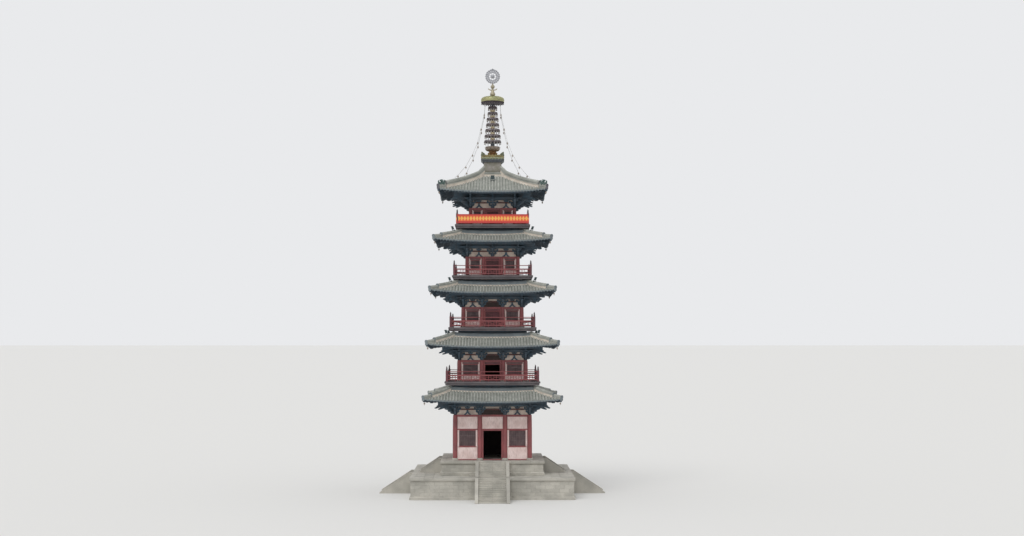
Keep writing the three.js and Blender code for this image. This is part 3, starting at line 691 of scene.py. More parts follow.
# Bracket sets
# Stacked timber arms and bearing blocks carry the eaves: a cap block on the column, arms that
# step out and across, beaked lever arms, and a purlin at the end. Inverted-V struts stand on the
# lintels between the sets. All is fir, painted in a dark blue-green that has dulled outdoors.
CORNERS = (0.5, 1.5, 2.5, 3.5)  # quarter turns that repeat a front piece on every diagonal
ARM_HALF = 0.085
ARM_DEPTH = 0.17
STEP_OUT = 0.72  # column line to the inner beam that the arms carry
PURLIN_OUT = 1.42
TIE_BOTTOM = 0.45
TIE_TOP = 0.58
WALL_BOARD = 0.18
WALL_BOARD_PITCH = 0.19
MIDDLE_STRUT = 1.33  # axis to the struts, on the storeys with one set in the middle
PAIRED_STOREYS = (0, 1, 2)  # with a set over each door column, where the others have one between
# Arms along the wall, as distance out from the column line, height above its top, half length
CROSS_ARMS = ((0.06, 0.18, 0.4), (0.08, 0.44, 0.58), (STEP_OUT, 0.62, 0.36))

# Mineral green paint: dark and chalky, worn greyer in places, and uneven from arm to arm
bracket_paint = weathered(
    "dark_mineral_green", ("#4d606d", "#565e66", "#2f3940"), patch_mm=500, grain_mm=40,
    stretch=(0.5, 0.5, 0.5), each=0.16, relief_mm=1.5,
)
# Plaster high up under the eaves, painted darker and browner as the shade of the eaves
shaded_eave_plaster = weathered(
    "eave_plaster_painted_shade", ("#dccbbd", "#c0b0a5", "#857972"), patch_mm=500, grain_mm=60, each=0.0,
    rough=0.92, relief_mm=1.0,
)
# The tie beams between the sets, sheltered by the eaves, keep some of their oxide red
tie_paint = weathered(
    "browned_red_paint", ("#6b4743", "#594340", "#352c2b"), patch_mm=400, grain_mm=40,
    stretch=(0.2, 0.2, 1), rough=0.75,
)


def bearing_block(x, out, z, half=0.1, tall=0.14):
    """A square block cut in at its foot, centred on x and out."""
    rings = []
    for share, height in ((0.72, 0.0), (1.0, 0.42), (1.0, 1.0)):
        r = half * share
        ring = [(x - r, -out - r), (x + r, -out - r), (x + r, -out + r), (x - r, -out + r)]
        rings.append([(px, py, z + tall * height) for px, py in ring])
    return loft(rings)


def cross_arm(x, out, z, reach):
    """An arm along the wall, rounded up at both ends."""
    top, bottom = z + ARM_DEPTH, z
    profile = [
        (-reach, top),
        (-reach, top - 0.07),
        (-reach + 0.07, bottom + 0.035),
        (-reach + 0.17, bottom),
        (reach - 0.17, bottom),
        (reach - 0.07, bottom + 0.035),
        (reach, top - 0.07),
        (reach, top),
    ]
    outline = [(x + a, h) for a, h in profile]
    return panel(outline, (out - ARM_HALF * 0.8, out + ARM_HALF * 0.8))


def bracket_set(parts, i, x, stretch, turns):
    """One set on a column head. Distances run out from the column line and heights up from the
    column top. Stretch is the square root of two for a set on a corner's diagonal."""
    line, base = column_line[i], column_top[i]

    def roof(p):
        return under_height(i, (line + p) if stretch > 1 else 0.0, line + p) - base

    def arm(points, half=ARM_HALF):
        outline = [((line + p) * stretch, base + h) for p, h in points]
        parts.put(board(outline, half, x), turns)

    def rest(p, h, half=0.1, tall=0.12):
        parts.put(bearing_block(x, (line + p) * stretch, base + h, half, tall), turns)

    for tip, low in ((0.42, 0.07), (0.66, 0.27), (0.95, 0.49)):
        curve = [(tip, low + 0.1), (tip - 0.06, low + 0.05), (tip - 0.2, low)]
        arm([(-0.2, low + ARM_DEPTH), (tip, low + ARM_DEPTH), *curve, (-0.2, low)])
        rest(tip - 0.08, low + ARM_DEPTH, 0.09, 0.1)
    for tip, low in ((1.55, 0.54), (1.88, 0.66)):
        beak = [(tip, low + 0.09), (tip - 0.02, low), (tip - 0.16, low + 0.04)]
        throat = [(tip - 0.4, low + 0.11), (-0.2, low + 0.3)]
        arm([(-0.2, low + 0.48), (tip - 0.34, low + 0.24), *beak, *throat])
        rest(tip - 0.28, low + 0.2, 0.09, 0.1)
    beam = PURLIN_OUT + 0.06
    head = [(beam, 0.9), (beam + 0.1, 1.0), (beam + 0.1, roof(beam) - 0.02)]
    arm([(-0.15, roof(0) - 0.02), (-0.15, 0.9), *head], 0.07)


def strut(x, base, top):
    """An inverted V with curved legs."""
    inside = [(0.0, 0.13), (0.07, 0.1), (0.13, 0.0)]
    outside = [(0.38, 0.0), (0.3, 0.06), (0.15, 0.2), (0.1, 0.3), (0.09, top - base)]
    leg = inside + outside
    right = [(x + out, base + h) for out, h in leg]
    left = [(x - out, base + h) for out, h in reversed(leg[1:])]
    return right + left


for i in STOREYS:
    line, base = column_line[i], column_top[i]
    wall = line + 0.05
    sets, ties, patches, dark = Gathered(), Gathered(), Gathered(), Gathered()
    inner = [-DOOR_COLUMN[i], DOOR_COLUMN[i]] if i in PAIRED_STOREYS else [0.0]
    for x in (-line, *inner, line):
        bracket_set(sets, i, x, 1.0, SIDES)
        sets.put(bearing_block(x, line, base, 0.19, 0.2), SIDES)
        for out, z, reach in CROSS_ARMS:
            sets.put(cross_arm(x, line + out, base + z, reach), SIDES)
            for end in (-reach + 0.1, 0, reach - 0.1):
                seat = base + z + ARM_DEPTH
                sets.put(bearing_block(x + end, line + out, seat, 0.085, 0.13), SIDES)
    bracket_set(sets, i, 0.0, math.sqrt(2), CORNERS)
    roof_in = under_height(i, 0.0, line + 0.1)
    step_out = line + STEP_OUT
    ring_beam(sets, step_out - 0.06, step_out + 0.06, (base + 0.84, base + 1.0))
    purlin = line + PURLIN_OUT
    purlin_top = float(under_height(i, 0.0, purlin + 0.1)) - 0.01
    ring_beam(sets, purlin - 0.1, purlin + 0.1, (purlin_top - 0.22, purlin_top), 0.05)
    ring_beam(sets, purlin - 0.06, purlin + 0.06, (purlin_top - 0.38, purlin_top - 0.24))
    top = roof_in if i == TOP else floor_level[i + 1] - 0.36
    level = TIE_TOP + 0.2
    while base + level + 0.02 < top:
        board_top = min(base + level + WALL_BOARD, top)
        ring_beam(sets, line - 0.02, line + 0.12, (base + level, board_top))
        level += WALL_BOARD_PITCH
    ring_beam(ties, line - 0.02, line + 0.12, (base + TIE_BOTTOM, base + TIE_TOP))
    ring_beam(patches, line - 0.2, wall, (base + 0.002, top), 0.0)
    bay = MIDDLE_STRUT
    if i in PAIRED_STOREYS:
        bay = (line + DOOR_COLUMN[i]) / 2
        half = DOOR_COLUMN[i] - 0.15
        # The middle bay over the doors is boarded in the near-black painted shade of the linings
        boarding = ((-wall - 0.02, -wall + 0.04), (base + 0.004, base + TIE_BOTTOM - 0.004))
        dark.put(block((-half, half), *boarding), SIDES)
    for x in (-bay, bay):
        outline = strut(x, base, base + TIE_BOTTOM - 0.1)
        sets.put(panel(outline, (wall, wall + 0.09)), SIDES)
        sets.put(bearing_block(x, line + 0.07, base + TIE_BOTTOM - 0.1, 0.09, 0.1), SIDES)
        sets.put(cross_arm(x, line + 0.08, base + TIE_TOP, 0.26), SIDES)
        sets.put(bearing_block(x, line + 0.08, base + TIE_TOP + ARM_DEPTH, 0.08, 0.13), SIDES)
    name = f"storey_{i + 1}"
    make(f"{name}_brackets", sets, bracket_paint, [f"{name}_bracket_sets"])
    make(f"{name}_bracket_ties", ties, tie_paint)
    # The bracket wall's plaster carries painted shade: it is darker for the shadow under the eaves
    make(f"{name}_bracket_wall", patches, shaded_eave_plaster)
    if i in PAIRED_STOREYS:
        make(f"{name}_middle_bay_boards", dark, painted_shade_boards)

# Rafters and eave boards
# Round rafters run out over the purlin and fan out at the corners, with square flying rafters on
# their ends and a two-part hip beam on each diagonal. Boards on top carry the clay bed.
RAFTER_SPACING = 0.28
RAFTER_RADIUS = 0.055
FLYING_HALF = 0.045
BOARD_OVER = 0.125  # underside of the boards above the rafters' underside
BED_UNDER = 0.095  # clay bed below the tiles' surface
RAFTER_COVER = 0.23  # rafters' underside below the tiles' surface, at least
EAVE_SPREAD = 0.985  # share of the spacing that the rafters keep at the eave
HIP_BEAM_HALF = 0.11

# The same mineral green in a thinner coat, darker and more uneven from rafter to rafter
rafter_paint = weathered(
    "rafter_green", ("#44525d", "#4a525b", "#2d343c"), patch_mm=600, grain_mm=40, dirt=0.45,
    each=0.2, rough=0.82,
)


def ring_around(section, steps):
    """A shape that runs round the four sides. section(u) gives its outline as (distance, height)
    points, u from -1 to 1 along a side."""
    rings = []
    for side in SIDES:
        for step in range(steps):
            even = -1 + 2 * step / steps
            u = math.copysign(abs(even) ** 0.8, even)
            ring = [(u * d, -d, z) for d, z in section(u)]
            rings.append(placed((ring, []), turn=side * math.pi / 2)[0])
    return loft(rings, wrap=True)


def sweep(path, section, sizes=None, up=(0, 0, 1), caps=True):
    """A section of (side, height) points carried along a path, and scaled by sizes."""
    path = np.asarray(path, float)
    along = np.gradient(path, axis=0)
    along /= np.linalg.norm(along, axis=1)[:, None]
    side = np.cross(along, up)
    side /= np.linalg.norm(side, axis=1)[:, None]
    top = np.cross(side, along)
    grow = np.ones(len(path)) if sizes is None else np.asarray(sizes, float)
    section = np.asarray(section, float)
    rings = (
        path[:, None, :]
        + (grow[:, None] * section[None, :, 0])[:, :, None] * side[:, None, :]
        + (grow[:, None] * section[None, :, 1])[:, :, None] * top[:, None, :]
    )
    return loft(rings, caps=caps)


def round_section(radius, sides=8):
    """A circle's points, for a round timber or a wire."""
    angles = [2 * math.pi * k / sides for k in range(sides)]
    return [(radius * math.cos(a), radius * math.sin(a)) for a in angles]


def square_section(half, low, high):
    """A timber's or a tile course's four corners."""
    return [(-half, low), (half, low), (half, high), (-half, high)]


def rafter_seat(i, x, d):
    """Height of the rafters' underside: the roof's own, or lower where the tiles sag close to it."""
    return np.minimum(under_height(i, x, d), tile_height(i, x, d) - RAFTER_COVER)


def shell_section(i, u):
    """Boards, clay bed and eave board in one outline."""
    inner = 0.5 if i == TOP else column_line[i] + 0.06
    edge = float(eave_half(i, u)) - 0.03
    places = np.linspace(max(SHELF_HALF[i], inner + 0.05), edge, 7)
    top = [(d, float(tile_height(i, u * d, d)) - BED_UNDER) for d in places]
    below = [(d, min(float(under_height(i, u * d, d)) + BOARD_OVER, z - 0.02)) for d, z in top]
    return [(inner, top[0][1]), *top, *reversed(below), (inner, below[0][1])]


for i in STOREYS:
    line, reach = column_line[i], EAVE_HALF[i]
    boards, rafters = Gathered(), Gathered()

    def shell(u):
        return shell_section(i, u)

    boards.put(ring_around(shell, 14))
    name = f"storey_{i + 1}"
    make(f"{name}_roof_boards", boards, rafter_paint, [f"{name}_tiled_roof"])
    count = int(reach / RAFTER_SPACING)
    start = line + 0.04
    for k in range(-count, count + 1):
        x_end = k * RAFTER_SPACING * EAVE_SPREAD
        d_end = eave_at(i, x_end) - 0.06
        if abs(x_end) > d_end - 0.12:
            continue
        x_in = math.copysign(min(abs(x_end), line - 0.1 + 0.1 * abs(x_end) / reach), x_end)
        route = []
        for share in (0.0, 0.25, 0.5, 0.65, 0.8, 1.0):
            d = start + (d_end - start) * share
            x = x_in + (x_end - x_in) * share
            route.append((x, -d, float(rafter_seat(i, x, d))))
        route = np.array(route)
        rafter = route[:5] + (0, 0, RAFTER_RADIUS)
        rafters.put(sweep(rafter, round_section(RAFTER_RADIUS, 8)), SIDES)
        tail = route[3:] + (0, 0, 0.03)
        rafters.put(sweep(tail, square_section(FLYING_HALF, 0, 2 * FLYING_HALF)), SIDES)
    tip = reach - 0.08
    nose = reach - 0.76

    def hip(d, drop):
        return (d * math.sqrt(2), float(under_height(i, d, d)) - drop)

    scroll = [hip(nose + 0.06, 0.3), hip(nose, 0.41), hip(nose - 0.1, 0.44), hip(nose - 0.22, 0.38)]
    inner_end = [hip(nose - 0.34, 0.46), hip(line + 0.2, 0.5)]
    lower_beam = [hip(line + 0.2, 0.0), hip(nose - 0.1, 0.0), hip(nose, 0.1), *scroll, *inner_end]
    lip = [hip(tip, 0.07), hip(tip - 0.05, 0.14), hip(tip - 0.15, 0.15), hip(tip - 0.25, 0.1)]
    lip += [hip(nose, 0.12), hip(line + 0.9, 0.1)]
    upper_beam = [hip(line + 0.9, -0.1), hip(tip, -0.1), *lip]
    rafters.put(board(lower_beam, HIP_BEAM_HALF), CORNERS)
    rafters.put(board(upper_beam, HIP_BEAM_HALF - 0.01), CORNERS)
    make(f"{name}_rafters", rafters, rafter_paint)

# Roof tiles
# Grey fired-clay tiles: rows of half-round cover tiles over wide pan tiles, each overlapping the
# next one down. Every row ends at the eave in a round end disc, with a pointed drip tile between.
TILE_SPACING = 0.285
TILE_LENGTH = 0.27
TILE_OVERLAP = 0.02
TILE_STEP = 0.012  # how far a tile's foot stands off the one below it
COVER_RADIUS = 0.08
PAN_HALF = 0.1
HIP_CLEAR = 0.1

# Unglazed clay, matt, each tile fired a slightly different grey, with lichen and soot
clay_tile = weathered(
    "fired_grey_clay", ("#aaaba4", "#969891", "#6b6e67"), patch_mm=1300, grain_mm=70, each=0.14,
    rough=0.85, relief_mm=3.0,
)
# Pans keep the damp, so they are darker and greener
pan_tile = weathered(
    "damp_pan_clay", ("#93968f", "#82857e", "#585c56"), patch_mm=900, grain_mm=70, dirt=0.6,
    each=0.14, rough=0.88, relief_mm=3.0,
)
# End discs and drip tiles are pressed from a finer clay: smoother, darker and blue-grey
edge_tile = weathered(
    "pressed_blue_grey_clay", ("#7f888b", "#737a7e", "#4f5659"), patch_mm=500, grain_mm=30,
    each=0.12,
)


def tile_row(i, x, start, end, section, lap):
    """Tiles from start to end down the slope. A section is (across, height) points, and each
    tile grows by lap towards its lower end."""
    count = max(1, round((end - start) / TILE_LENGTH))
    size = len(section)
    across = np.array([p[0] for p in section])
    rise = np.array([p[1] for p in section])
    points = []
    faces = []
    for k in range(count):
        d0 = start + (end - start) * k / count
        d1 = start + (end - start) * (k + 1) / count + TILE_OVERLAP
        feet = ((d1, 1.0 + lap, TILE_STEP), (d1, 1.0 - lap, -TILE_STEP))
        for d, swell, lift in ((d0, 1.0, 0.0), *feet):
            z = float(tile_height(i, x, d))
            base = len(points)
            for a, h in zip(across, rise):
                points.append((x + a * swell, -d, z + h + lift))
        first = 3 * size * k
        for ring in (0, 1):
            for p in range(size - 1):
                a = first + ring * size + p
                faces.append((a, a + 1, a + 1 + size, a + size))
    return np.array(points), faces


cover_section = [
    (COVER_RADIUS * math.cos(a), COVER_RADIUS * 0.95 * math.sin(a) - 0.05)
    for a in [math.pi * k / 5 for k in range(6)]
]
pan_section = [
    (PAN_HALF, -0.035), (PAN_HALF * 0.45, -0.062),
    (-PAN_HALF * 0.45, -0.062), (-PAN_HALF, -0.035),
]


def disc(radius, rings, sides=12):
    """A round tile end that faces the front, from (share of radius, distance out) rings."""
    angles = [2 * math.pi * k / sides for k in range(sides)]
    return loft(
        [
            [(radius * r * math.cos(a), -out, radius * r * math.sin(a)) for a in angles]
            for r, out in rings
        ]
    )


rim_and_boss = ((1.0, -0.03), (1.0, 0.02), (0.8, 0.02), (0.72, 0.008), (0.3, 0.008), (0.2, 0.02))
end_disc = disc(0.088, rim_and_boss)
drip_point = [(-0.115, 0.03), (-0.09, -0.03), (-0.045, -0.075), (0.0, -0.12)]
drip_point += [(-x, z) for x, z in drip_point[2::-1]]
drip_tile = panel([*drip_point, (0.06, 0.008), (0.0, 0.0), (-0.06, 0.008)], (-0.012, 0.012))

for i in STOREYS:
    covers, pans, edges = Gathered(), Gathered(), Gathered()
    shelf = SHELF_HALF[i]
    count = int(EAVE_HALF[i] / TILE_SPACING)
    for k in range(-2 * count - 1, 2 * count + 2):
        x = k * TILE_SPACING / 2
        covered = k % 2 == 0
        end = eave_at(i, x) + (0.03 if covered else 0.0)
        begin = max(shelf - 0.05, abs(x) + HIP_CLEAR)
        if end - begin < 0.12:
            continue
        section = cover_section if covered else pan_section
        row = tile_row(i, x, begin, end, section, 0.06 if covered else 0.0)
        (covers if covered else pans).put(row, SIDES)
        z = float(tile_height(i, x, end))
        if covered:
            edges.put(placed(end_disc, (x, -end - 0.01, z - 0.035)), SIDES)
        else:
            edges.put(placed(drip_tile, (x, -end - 0.025, z - 0.06)), SIDES)
    name = f"storey_{i + 1}"
    make(f"{name}_cover_tiles", covers, clay_tile, closed=False, crease=50)
    make(f"{name}_pan_tiles", pans, pan_tile, closed=False, crease=50)
    make(f"{name}_eave_end_tiles", edges, edge_tile)

# Ridges
# Hip ridges run down each diagonal: a bed of mortar, courses of flat tiles and a row of half-round
# caps. They step down before the corner. A low ring ridge closes each slope at its head.
HIP_STEP = [0.7, 0.7, 0.7, 0.7, 0.82]
HIP_RAISE = [0.42, 0.42, 0.42, 0.42, 0.62]
LOWER_RAISE = [0.3, 0.3, 0.3, 0.3, 0.38]
HIP_START = -0.05  # places down a hip are shares of the slope, 0 at its head and 1 at the tip
HIP_END = 0.985
CAP_LENGTH = 0.3
BED_BOTTOM = -0.15
RING_WIDTH = 0.32
RING_HEIGHT = 0.27  # to the foot of the ring ridge's cap
NECK_FLARE = 0.3  # how far the top roof's hips sweep up against the neck
NECK_REACH = 0.17  # and the share of the slope over which they do
# Flat tile courses over the mortar, as half width, bottom and top above the tiles at the corner
HIP_COURSES = [(0.17, 0.14, 0.19), (0.11, 0.19, 0.27)]
TOP_HIP_COURSES = [(0.22, 0.19, 0.25), (0.14, 0.25, 0.34), (0.19, 0.34, 0.38), (0.14, 0.38, 0.48)]
LOWER_COURSES = [(0.12, -0.12, 0.1), (0.15, 0.1, 0.15)]

# Lime mortar struck off by trowel round the flat tiles: matt, pale beige, stained by rain
ridge_mortar = weathered(
    "ridge_lime_mortar", ("#e4d9cb", "#d0c5b8", "#9b9188"), patch_mm=600, grain_mm=60, each=0.05,
    rough=0.9, relief_mm=3.0,
)
# The top roof's end tiles are matt and dark with soot
sooted_tile = weathered(
    "sooted_end_tiles", ("#66666b", "#59595e", "#3b3b3f"), patch_mm=400, grain_mm=40, each=0.08,
    rough=0.85,
)


def hip_line(i, start, end, raise_by=0.0, steps=14):
    """Points along a front-facing diagonal, raised above the tiles at the corner."""
    shares = np.linspace(start, end, steps)
    reach = SHELF_HALF[i] + (EAVE_HALF[i] - SHELF_HALF[i]) * shares
    heights = [float(slope_height(i, t, 1.0)) + raise_by for t in shares]
    return np.array([(0.0, -d * math.sqrt(2), z) for d, z in zip(reach, heights)])


def courses(parts, line, sizes):
    """Courses of flat tiles or mortar laid along a line."""
    for half, low, high in sizes:
        parts.put(sweep(line, square_section(half, low, high)), CORNERS)


def points_along(line, places, marks):
    """The points of a line at given marks, from the place of each of its own points."""
    return [np.array([np.interp(s, places, line[:, k]) for k in range(3)]) for s in marks]


def cap_row(parts, line, radius, tall):
    """Half-round cap tiles laid end to end along a line."""
    length = float(np.linalg.norm(np.diff(line, axis=0), axis=1).sum())
    count = max(1, round(length / CAP_LENGTH))
    spots = points_along(line, range(len(line)), np.linspace(0, len(line) - 1, count + 1))
    angles = [math.pi * k / 6 for k in range(7)]
    section = [(radius * math.cos(a), tall * math.sin(a)) for a in angles]
    for start, end in zip(spots, spots[1:]):
        cap = sweep([start, (start + end) / 2, end], section, sizes=(0.94, 1.0, 1.07))
        parts.put(cap, CORNERS)


def end_tile(parts, at, radius, drop):
    """A round end tile on the diagonal and the block under it."""
    rings = ((1.0, -0.05), (1.0, 0.055), (0.82, 0.055), (0.73, 0.028), (0.25, 0.035))
    parts.put(placed(disc(radius, rings), at), CORNERS)
    depth = (at[1] - 0.04, at[1] + 0.1)
    parts.put(block((-radius * 0.9, radius * 0.9), depth, (at[2] - drop, at[2]), 0.02), CORNERS)


def ring_course(parts, i, near, far, low, high):
    """A course of the ring ridge, between two distances from the slope's top edge."""

    def section(u):
        z = float(slope_height(i, 0.0, u))
        half = SHELF_HALF[i]
        return [(half + x, z + h) for x, h in ((near, low), (far, low), (far, high), (near, high))]

    parts.put(ring_around(section, 8))


for i in STOREYS:
    mortar, caps, ends = Gathered(), Gathered(), Gathered()
    top_roof = i == TOP
    step, high = HIP_STEP[i], HIP_RAISE[i]
    upper = hip_line(i, HIP_START, step)
    if top_roof:
        flare = np.clip(1 - np.linspace(0, step / NECK_REACH, len(upper)), 0, 1) ** 2
        upper[:, 2] += NECK_FLARE * flare
    laid = TOP_HIP_COURSES if top_roof else HIP_COURSES
    courses(mortar, upper, [(laid[1][0] + 0.02, BED_BOTTOM, laid[0][1])])
    if top_roof:
        # Mortar fills the wedge between the flared ridge and the slope
        wedge = hip_line(i, HIP_START, step)[:5]
        courses(mortar, wedge, [(laid[1][0] + 0.015, BED_BOTTOM, 0.25)])
    courses(caps, upper, laid)
    bed = laid[-1][2] - 0.01
    cap_row(caps, upper + (0, 0, bed), 0.13 if top_roof else 0.12, high - bed)
    end_tile(ends, (0, upper[-1][1], upper[-1][2] + high * 0.62), 0.17, high * 0.6)
    lower = hip_line(i, step, HIP_END)
    courses(caps, lower, LOWER_COURSES)
    bed = LOWER_COURSES[-1][2]
    cap_row(caps, lower + (0, 0, bed), 0.11, LOWER_RAISE[i] - bed)
    end_tile(ends, (0, lower[-1][1], lower[-1][2] + LOWER_RAISE[i] - 0.14), 0.16, 0.36)

    ring_tiles = caps if top_roof else ends
    bed = 0.16 if top_roof else 0.07
    ring_course(mortar, i, -RING_WIDTH, 0.02, -0.1, bed)
    ring_course(ring_tiles, i, -RING_WIDTH - 0.03, 0.06, bed, bed + 0.06)
    ring_course(ring_tiles, i, -RING_WIDTH + 0.03, 0.0, bed + 0.06, RING_HEIGHT)
    ring_course(ring_tiles, i, -RING_WIDTH + 0.05, 0.04, RING_HEIGHT, 0.31)
    ring_course(ring_tiles, i, -RING_WIDTH + 0.09, -0.02, 0.31, 0.37)
    name = f"storey_{i + 1}"
    make(f"{name}_ridge_mortar", mortar, ridge_mortar)
    make(f"{name}_ridge_caps", caps, clay_tile)
    make(f"{name}_ridge_end_tiles", ends, sooted_tile if top_roof else edge_tile)

# Galleries
# A plank floor on each upper storey with an eased edge board over set-back joists, and a
# lacquered balustrade: a handrail, a middle rail and open fret between corner posts in the darker
# lacquer of the doors, with cast knobs on top.
RAIL_INSET = 0.2
MID_POST = 1.2
MID_POST_HALF = 0.055
STILE_HALF = 0.025
FRET_BAR = 0.018  # half the width of the fret's bars
HANDRAIL = (0.92, 0.99)
MIDDLE_RAIL = (0.54, 0.66)
LOWER_RAIL = (0.14, 0.23)
PANEL_LENGTH = 0.85
JOIST_SPACING = 0.42
deck_half = [None] + [real_box(f"gallery_{i + 1}_floor")[1][0] for i in STOREYS[1:]]

# Bare planks weathered to a dull grey with a trace of brown, darker in the grain
deck_timber = weathered(
    "silvered_deck_timber", ("#6c6668", "#5d5759", "#3a3537"), patch_mm=700, grain_mm=35,
    stretch=(1, 0.2, 1), rough=0.85, relief_mm=1.5,
)
# Cast iron under old red-brown paint: dull, and freckled with soot
knob_iron = weathered(
    "sooty_cast_knobs", ("#5b4a4c", "#4c4144", "#332d30"), patch_mm=150, grain_mm=15, each=0.05,
    rough=0.6, relief_mm=0.6,
)


def fretwork(parts, x, z, y):
    """An open fret of straight bars: two uprights, a bar out from each and a lower one between."""
    wide, tall = x[1] - x[0], z[1] - z[0]
    bar = FRET_BAR
    for left, right, height in ((0.0, 0.32, 0.62), (0.68, 1.0, 0.62), (0.32, 0.68, 0.3)):
        across = (x[0] + left * wide, x[0] + right * wide)
        middle = z[0] + height * tall
        parts.put(block(across, (y - bar, y + bar), (middle - bar, middle + bar)), SIDES)
    for place in (0.32, 0.68):
        middle = x[0] + place * wide
        deep = (y - bar * 0.9, y + bar * 0.9)
        parts.put(block((middle - bar, middle + bar), deep, (z[0], z[0] + tall)), SIDES)


for i in STOREYS[1:]:
    name = f"gallery_{i + 1}"
    finish(f"{name}_floor", deck_timber)
    half, top = deck_half[i], floor_level[i]
    edges, joists, rails = Gathered(), Gathered(), Gathered()
    posts, knobs = Gathered(), Gathered()
    ring_beam(edges, half - 0.05, half + 0.015, (top - 0.17, top + 0.004), 0.012)
    count = int(half / JOIST_SPACING)
    for k in range(-count, count + 1):
        x = (k * JOIST_SPACING - 0.05, k * JOIST_SPACING + 0.05)
        joists.put(block(x, (-half + 0.12, -half + 0.5), (top - 0.3, top - 0.1), 0.008), SIDES)
    make(f"{name}_edge_boards", edges, deck_timber)
    make(f"{name}_joist_ends", joists, deck_timber)

    line, foot = half - RAIL_INSET, top + 0.002
    for (low, high), deep in ((HANDRAIL, 0.035), (MIDDLE_RAIL, 0.04), (LOWER_RAIL, 0.045)):
        ring_beam(rails, line - deep, line + deep, (foot + low, foot + high), 0.014)
    wide = MID_POST_HALF
    for x in (-MID_POST, MID_POST):
        square = ((x - wide, x + wide), (-line - wide, -line + wide))
        rails.put(block(*square, (foot, foot + HANDRAIL[1] - 0.01), 0.01), SIDES)
    fret_z = (foot + LOWER_RAIL[1], foot + MIDDLE_RAIL[0])
    for left, right in ((-line, -MID_POST), (-MID_POST, MID_POST), (MID_POST, line)):
        count = max(1, round((right - left - 0.1) / PANEL_LENGTH))
        cuts = np.linspace(left + 0.05, right - 0.05, count + 1)
        for x0, x1 in zip(cuts, cuts[1:]):
            fretwork(rails, (x0 + 0.02, x1 - 0.02), fret_z, -line)
        for x in cuts[1:-1]:
            square = ((x - STILE_HALF, x + STILE_HALF), (-line - 0.03, -line + 0.03))
            rails.put(block(*square, (foot, foot + MIDDLE_RAIL[0] + 0.02)), SIDES)
    post = [(0.105, 0.0), (0.105, 1.03), (0.085, 1.06), (0.06, 1.1)]
    posts.put(turned([(r, foot + z) for r, z in post], square=True, centre=(-line, -line)), SIDES)
    knob = [(0.06, 1.09), (0.1, 1.16), (0.06, 1.22), (0.08, 1.3), (0.05, 1.38), (0.016, 1.48)]
    knobs.put(turned([(r, foot + z) for r, z in knob], 12, centre=(-line, -line)), SIDES)
    make(f"{name}_rails", rails, red_lacquer, [f"{name}_balustrade"])
    # The corner posts take the doors' darker lacquer as painted shade
    make(f"{name}_corner_posts", posts, door_lacquer_and_shade)
    make(f"{name}_post_knobs", knobs, knob_iron)

# Roof crown and seat
# Where the four hips meet, a square neck of rendered brick flares out over the ridges, and carries
# a heavy slate-grey cast seat for the spire.
crown_low, crown_high = real_box("roof_crown")
seat_low, seat_high = real_box("spire_seat")
FACE_PITCH = 0.3  # raised panels on the seat's sides
FACE_HALF = 0.11

# Lime render on brick, grey-green and brown where water runs off the seat
neck_render = weathered(
    "streaked_lime_render", ("#8f8a84", "#7f7c70", "#545043"), patch_mm=400, grain_mm=60,
    stretch=(1, 1, 0.3), dirt=0.6, each=0.0, rough=0.9,
)
# A painted casting: slate grey freckled darker, with a very low sheen
cast_slate = weathered(
    "slate_grey_casting", ("#666a70", "#585c62", "#3d4045"), patch_mm=300, grain_mm=25, each=0.03,
    rough=0.6, relief_mm=1.5,
)
parts = Gathered()
foot, head = crown_low[2], crown_high[2]
flare = [(0.98, foot), (1.02, head - 0.84), (1.0, head - 0.7), (0.96, head - 0.57)]
neck = [(0.91, head - 0.43), (0.87, head - 0.28), (0.845, head - 0.12), (0.84, head)]
parts.put(turned(flare + neck, square=True))
make("roof_crown_render", parts, neck_render, ["roof_crown"])
parts = Gathered()
foot, head = seat_low[2], seat_high[2]
low_part = [(0.94, foot), (0.97, foot + 0.05), (1.03, foot + 0.13), (1.1, foot + 0.18)]
high_part = [(1.12, foot + 0.22), (1.12, head - 0.24), (1.09, head - 0.2), (1.04, head - 0.16)]
parts.put(turned(low_part + high_part, square=True))
for k in range(-3, 4):
    x = (k * FACE_PITCH - FACE_HALF, k * FACE_PITCH + FACE_HALF)
    parts.put(block(x, (-1.13, -1.1), (foot + 0.24, head - 0.26), 0.01), SIDES)
make("spire_seat_casting", parts, cast_slate, ["spire_seat"])

# Lotus base
# A tray of gilded leaves with a broad one curling up at each corner, and a reddish vase with
# rolled edges, are beaten from copper sheet over cores. The lotus bowl on top is cast bronze.

# Leaf gilding worn thin on beaten copper: a muted gold glint, freckled with brown
gilt = weathered(
    "worn_gilding", ("#9d9064", "#877d59", "#524d3a"), patch_mm=260, grain_mm=22, dirt=0.6,
    each=0.08, rough=0.45, metal=0.7, relief_mm=1.0,
)
# The corner leaves and the row that hangs below have lost their gilding and gone green
verdigris = weathered(
    "green_brown_copper", ("#868b74", "#757967", "#4a4d41"), patch_mm=220, grain_mm=20, each=0.06,
    rough=0.6, metal=0.4, relief_mm=1.0,
)
# The vase keeps some of the red of its copper
red_copper = weathered(
    "tarnished_red_copper", ("#9a7350", "#826649", "#4c4138"), patch_mm=220, grain_mm=22,
    each=0.06, rough=0.5, metal=0.7, relief_mm=1.0,
)
# Cast bronze left bare: grey-brown with a faint warm sheen
dull_bronze = weathered(
    "dull_bronze", ("#998b7f", "#85786d", "#544d46"), patch_mm=200, grain_mm=20, each=0.06,
    rough=0.5, metal=0.7, relief_mm=1.0,
)


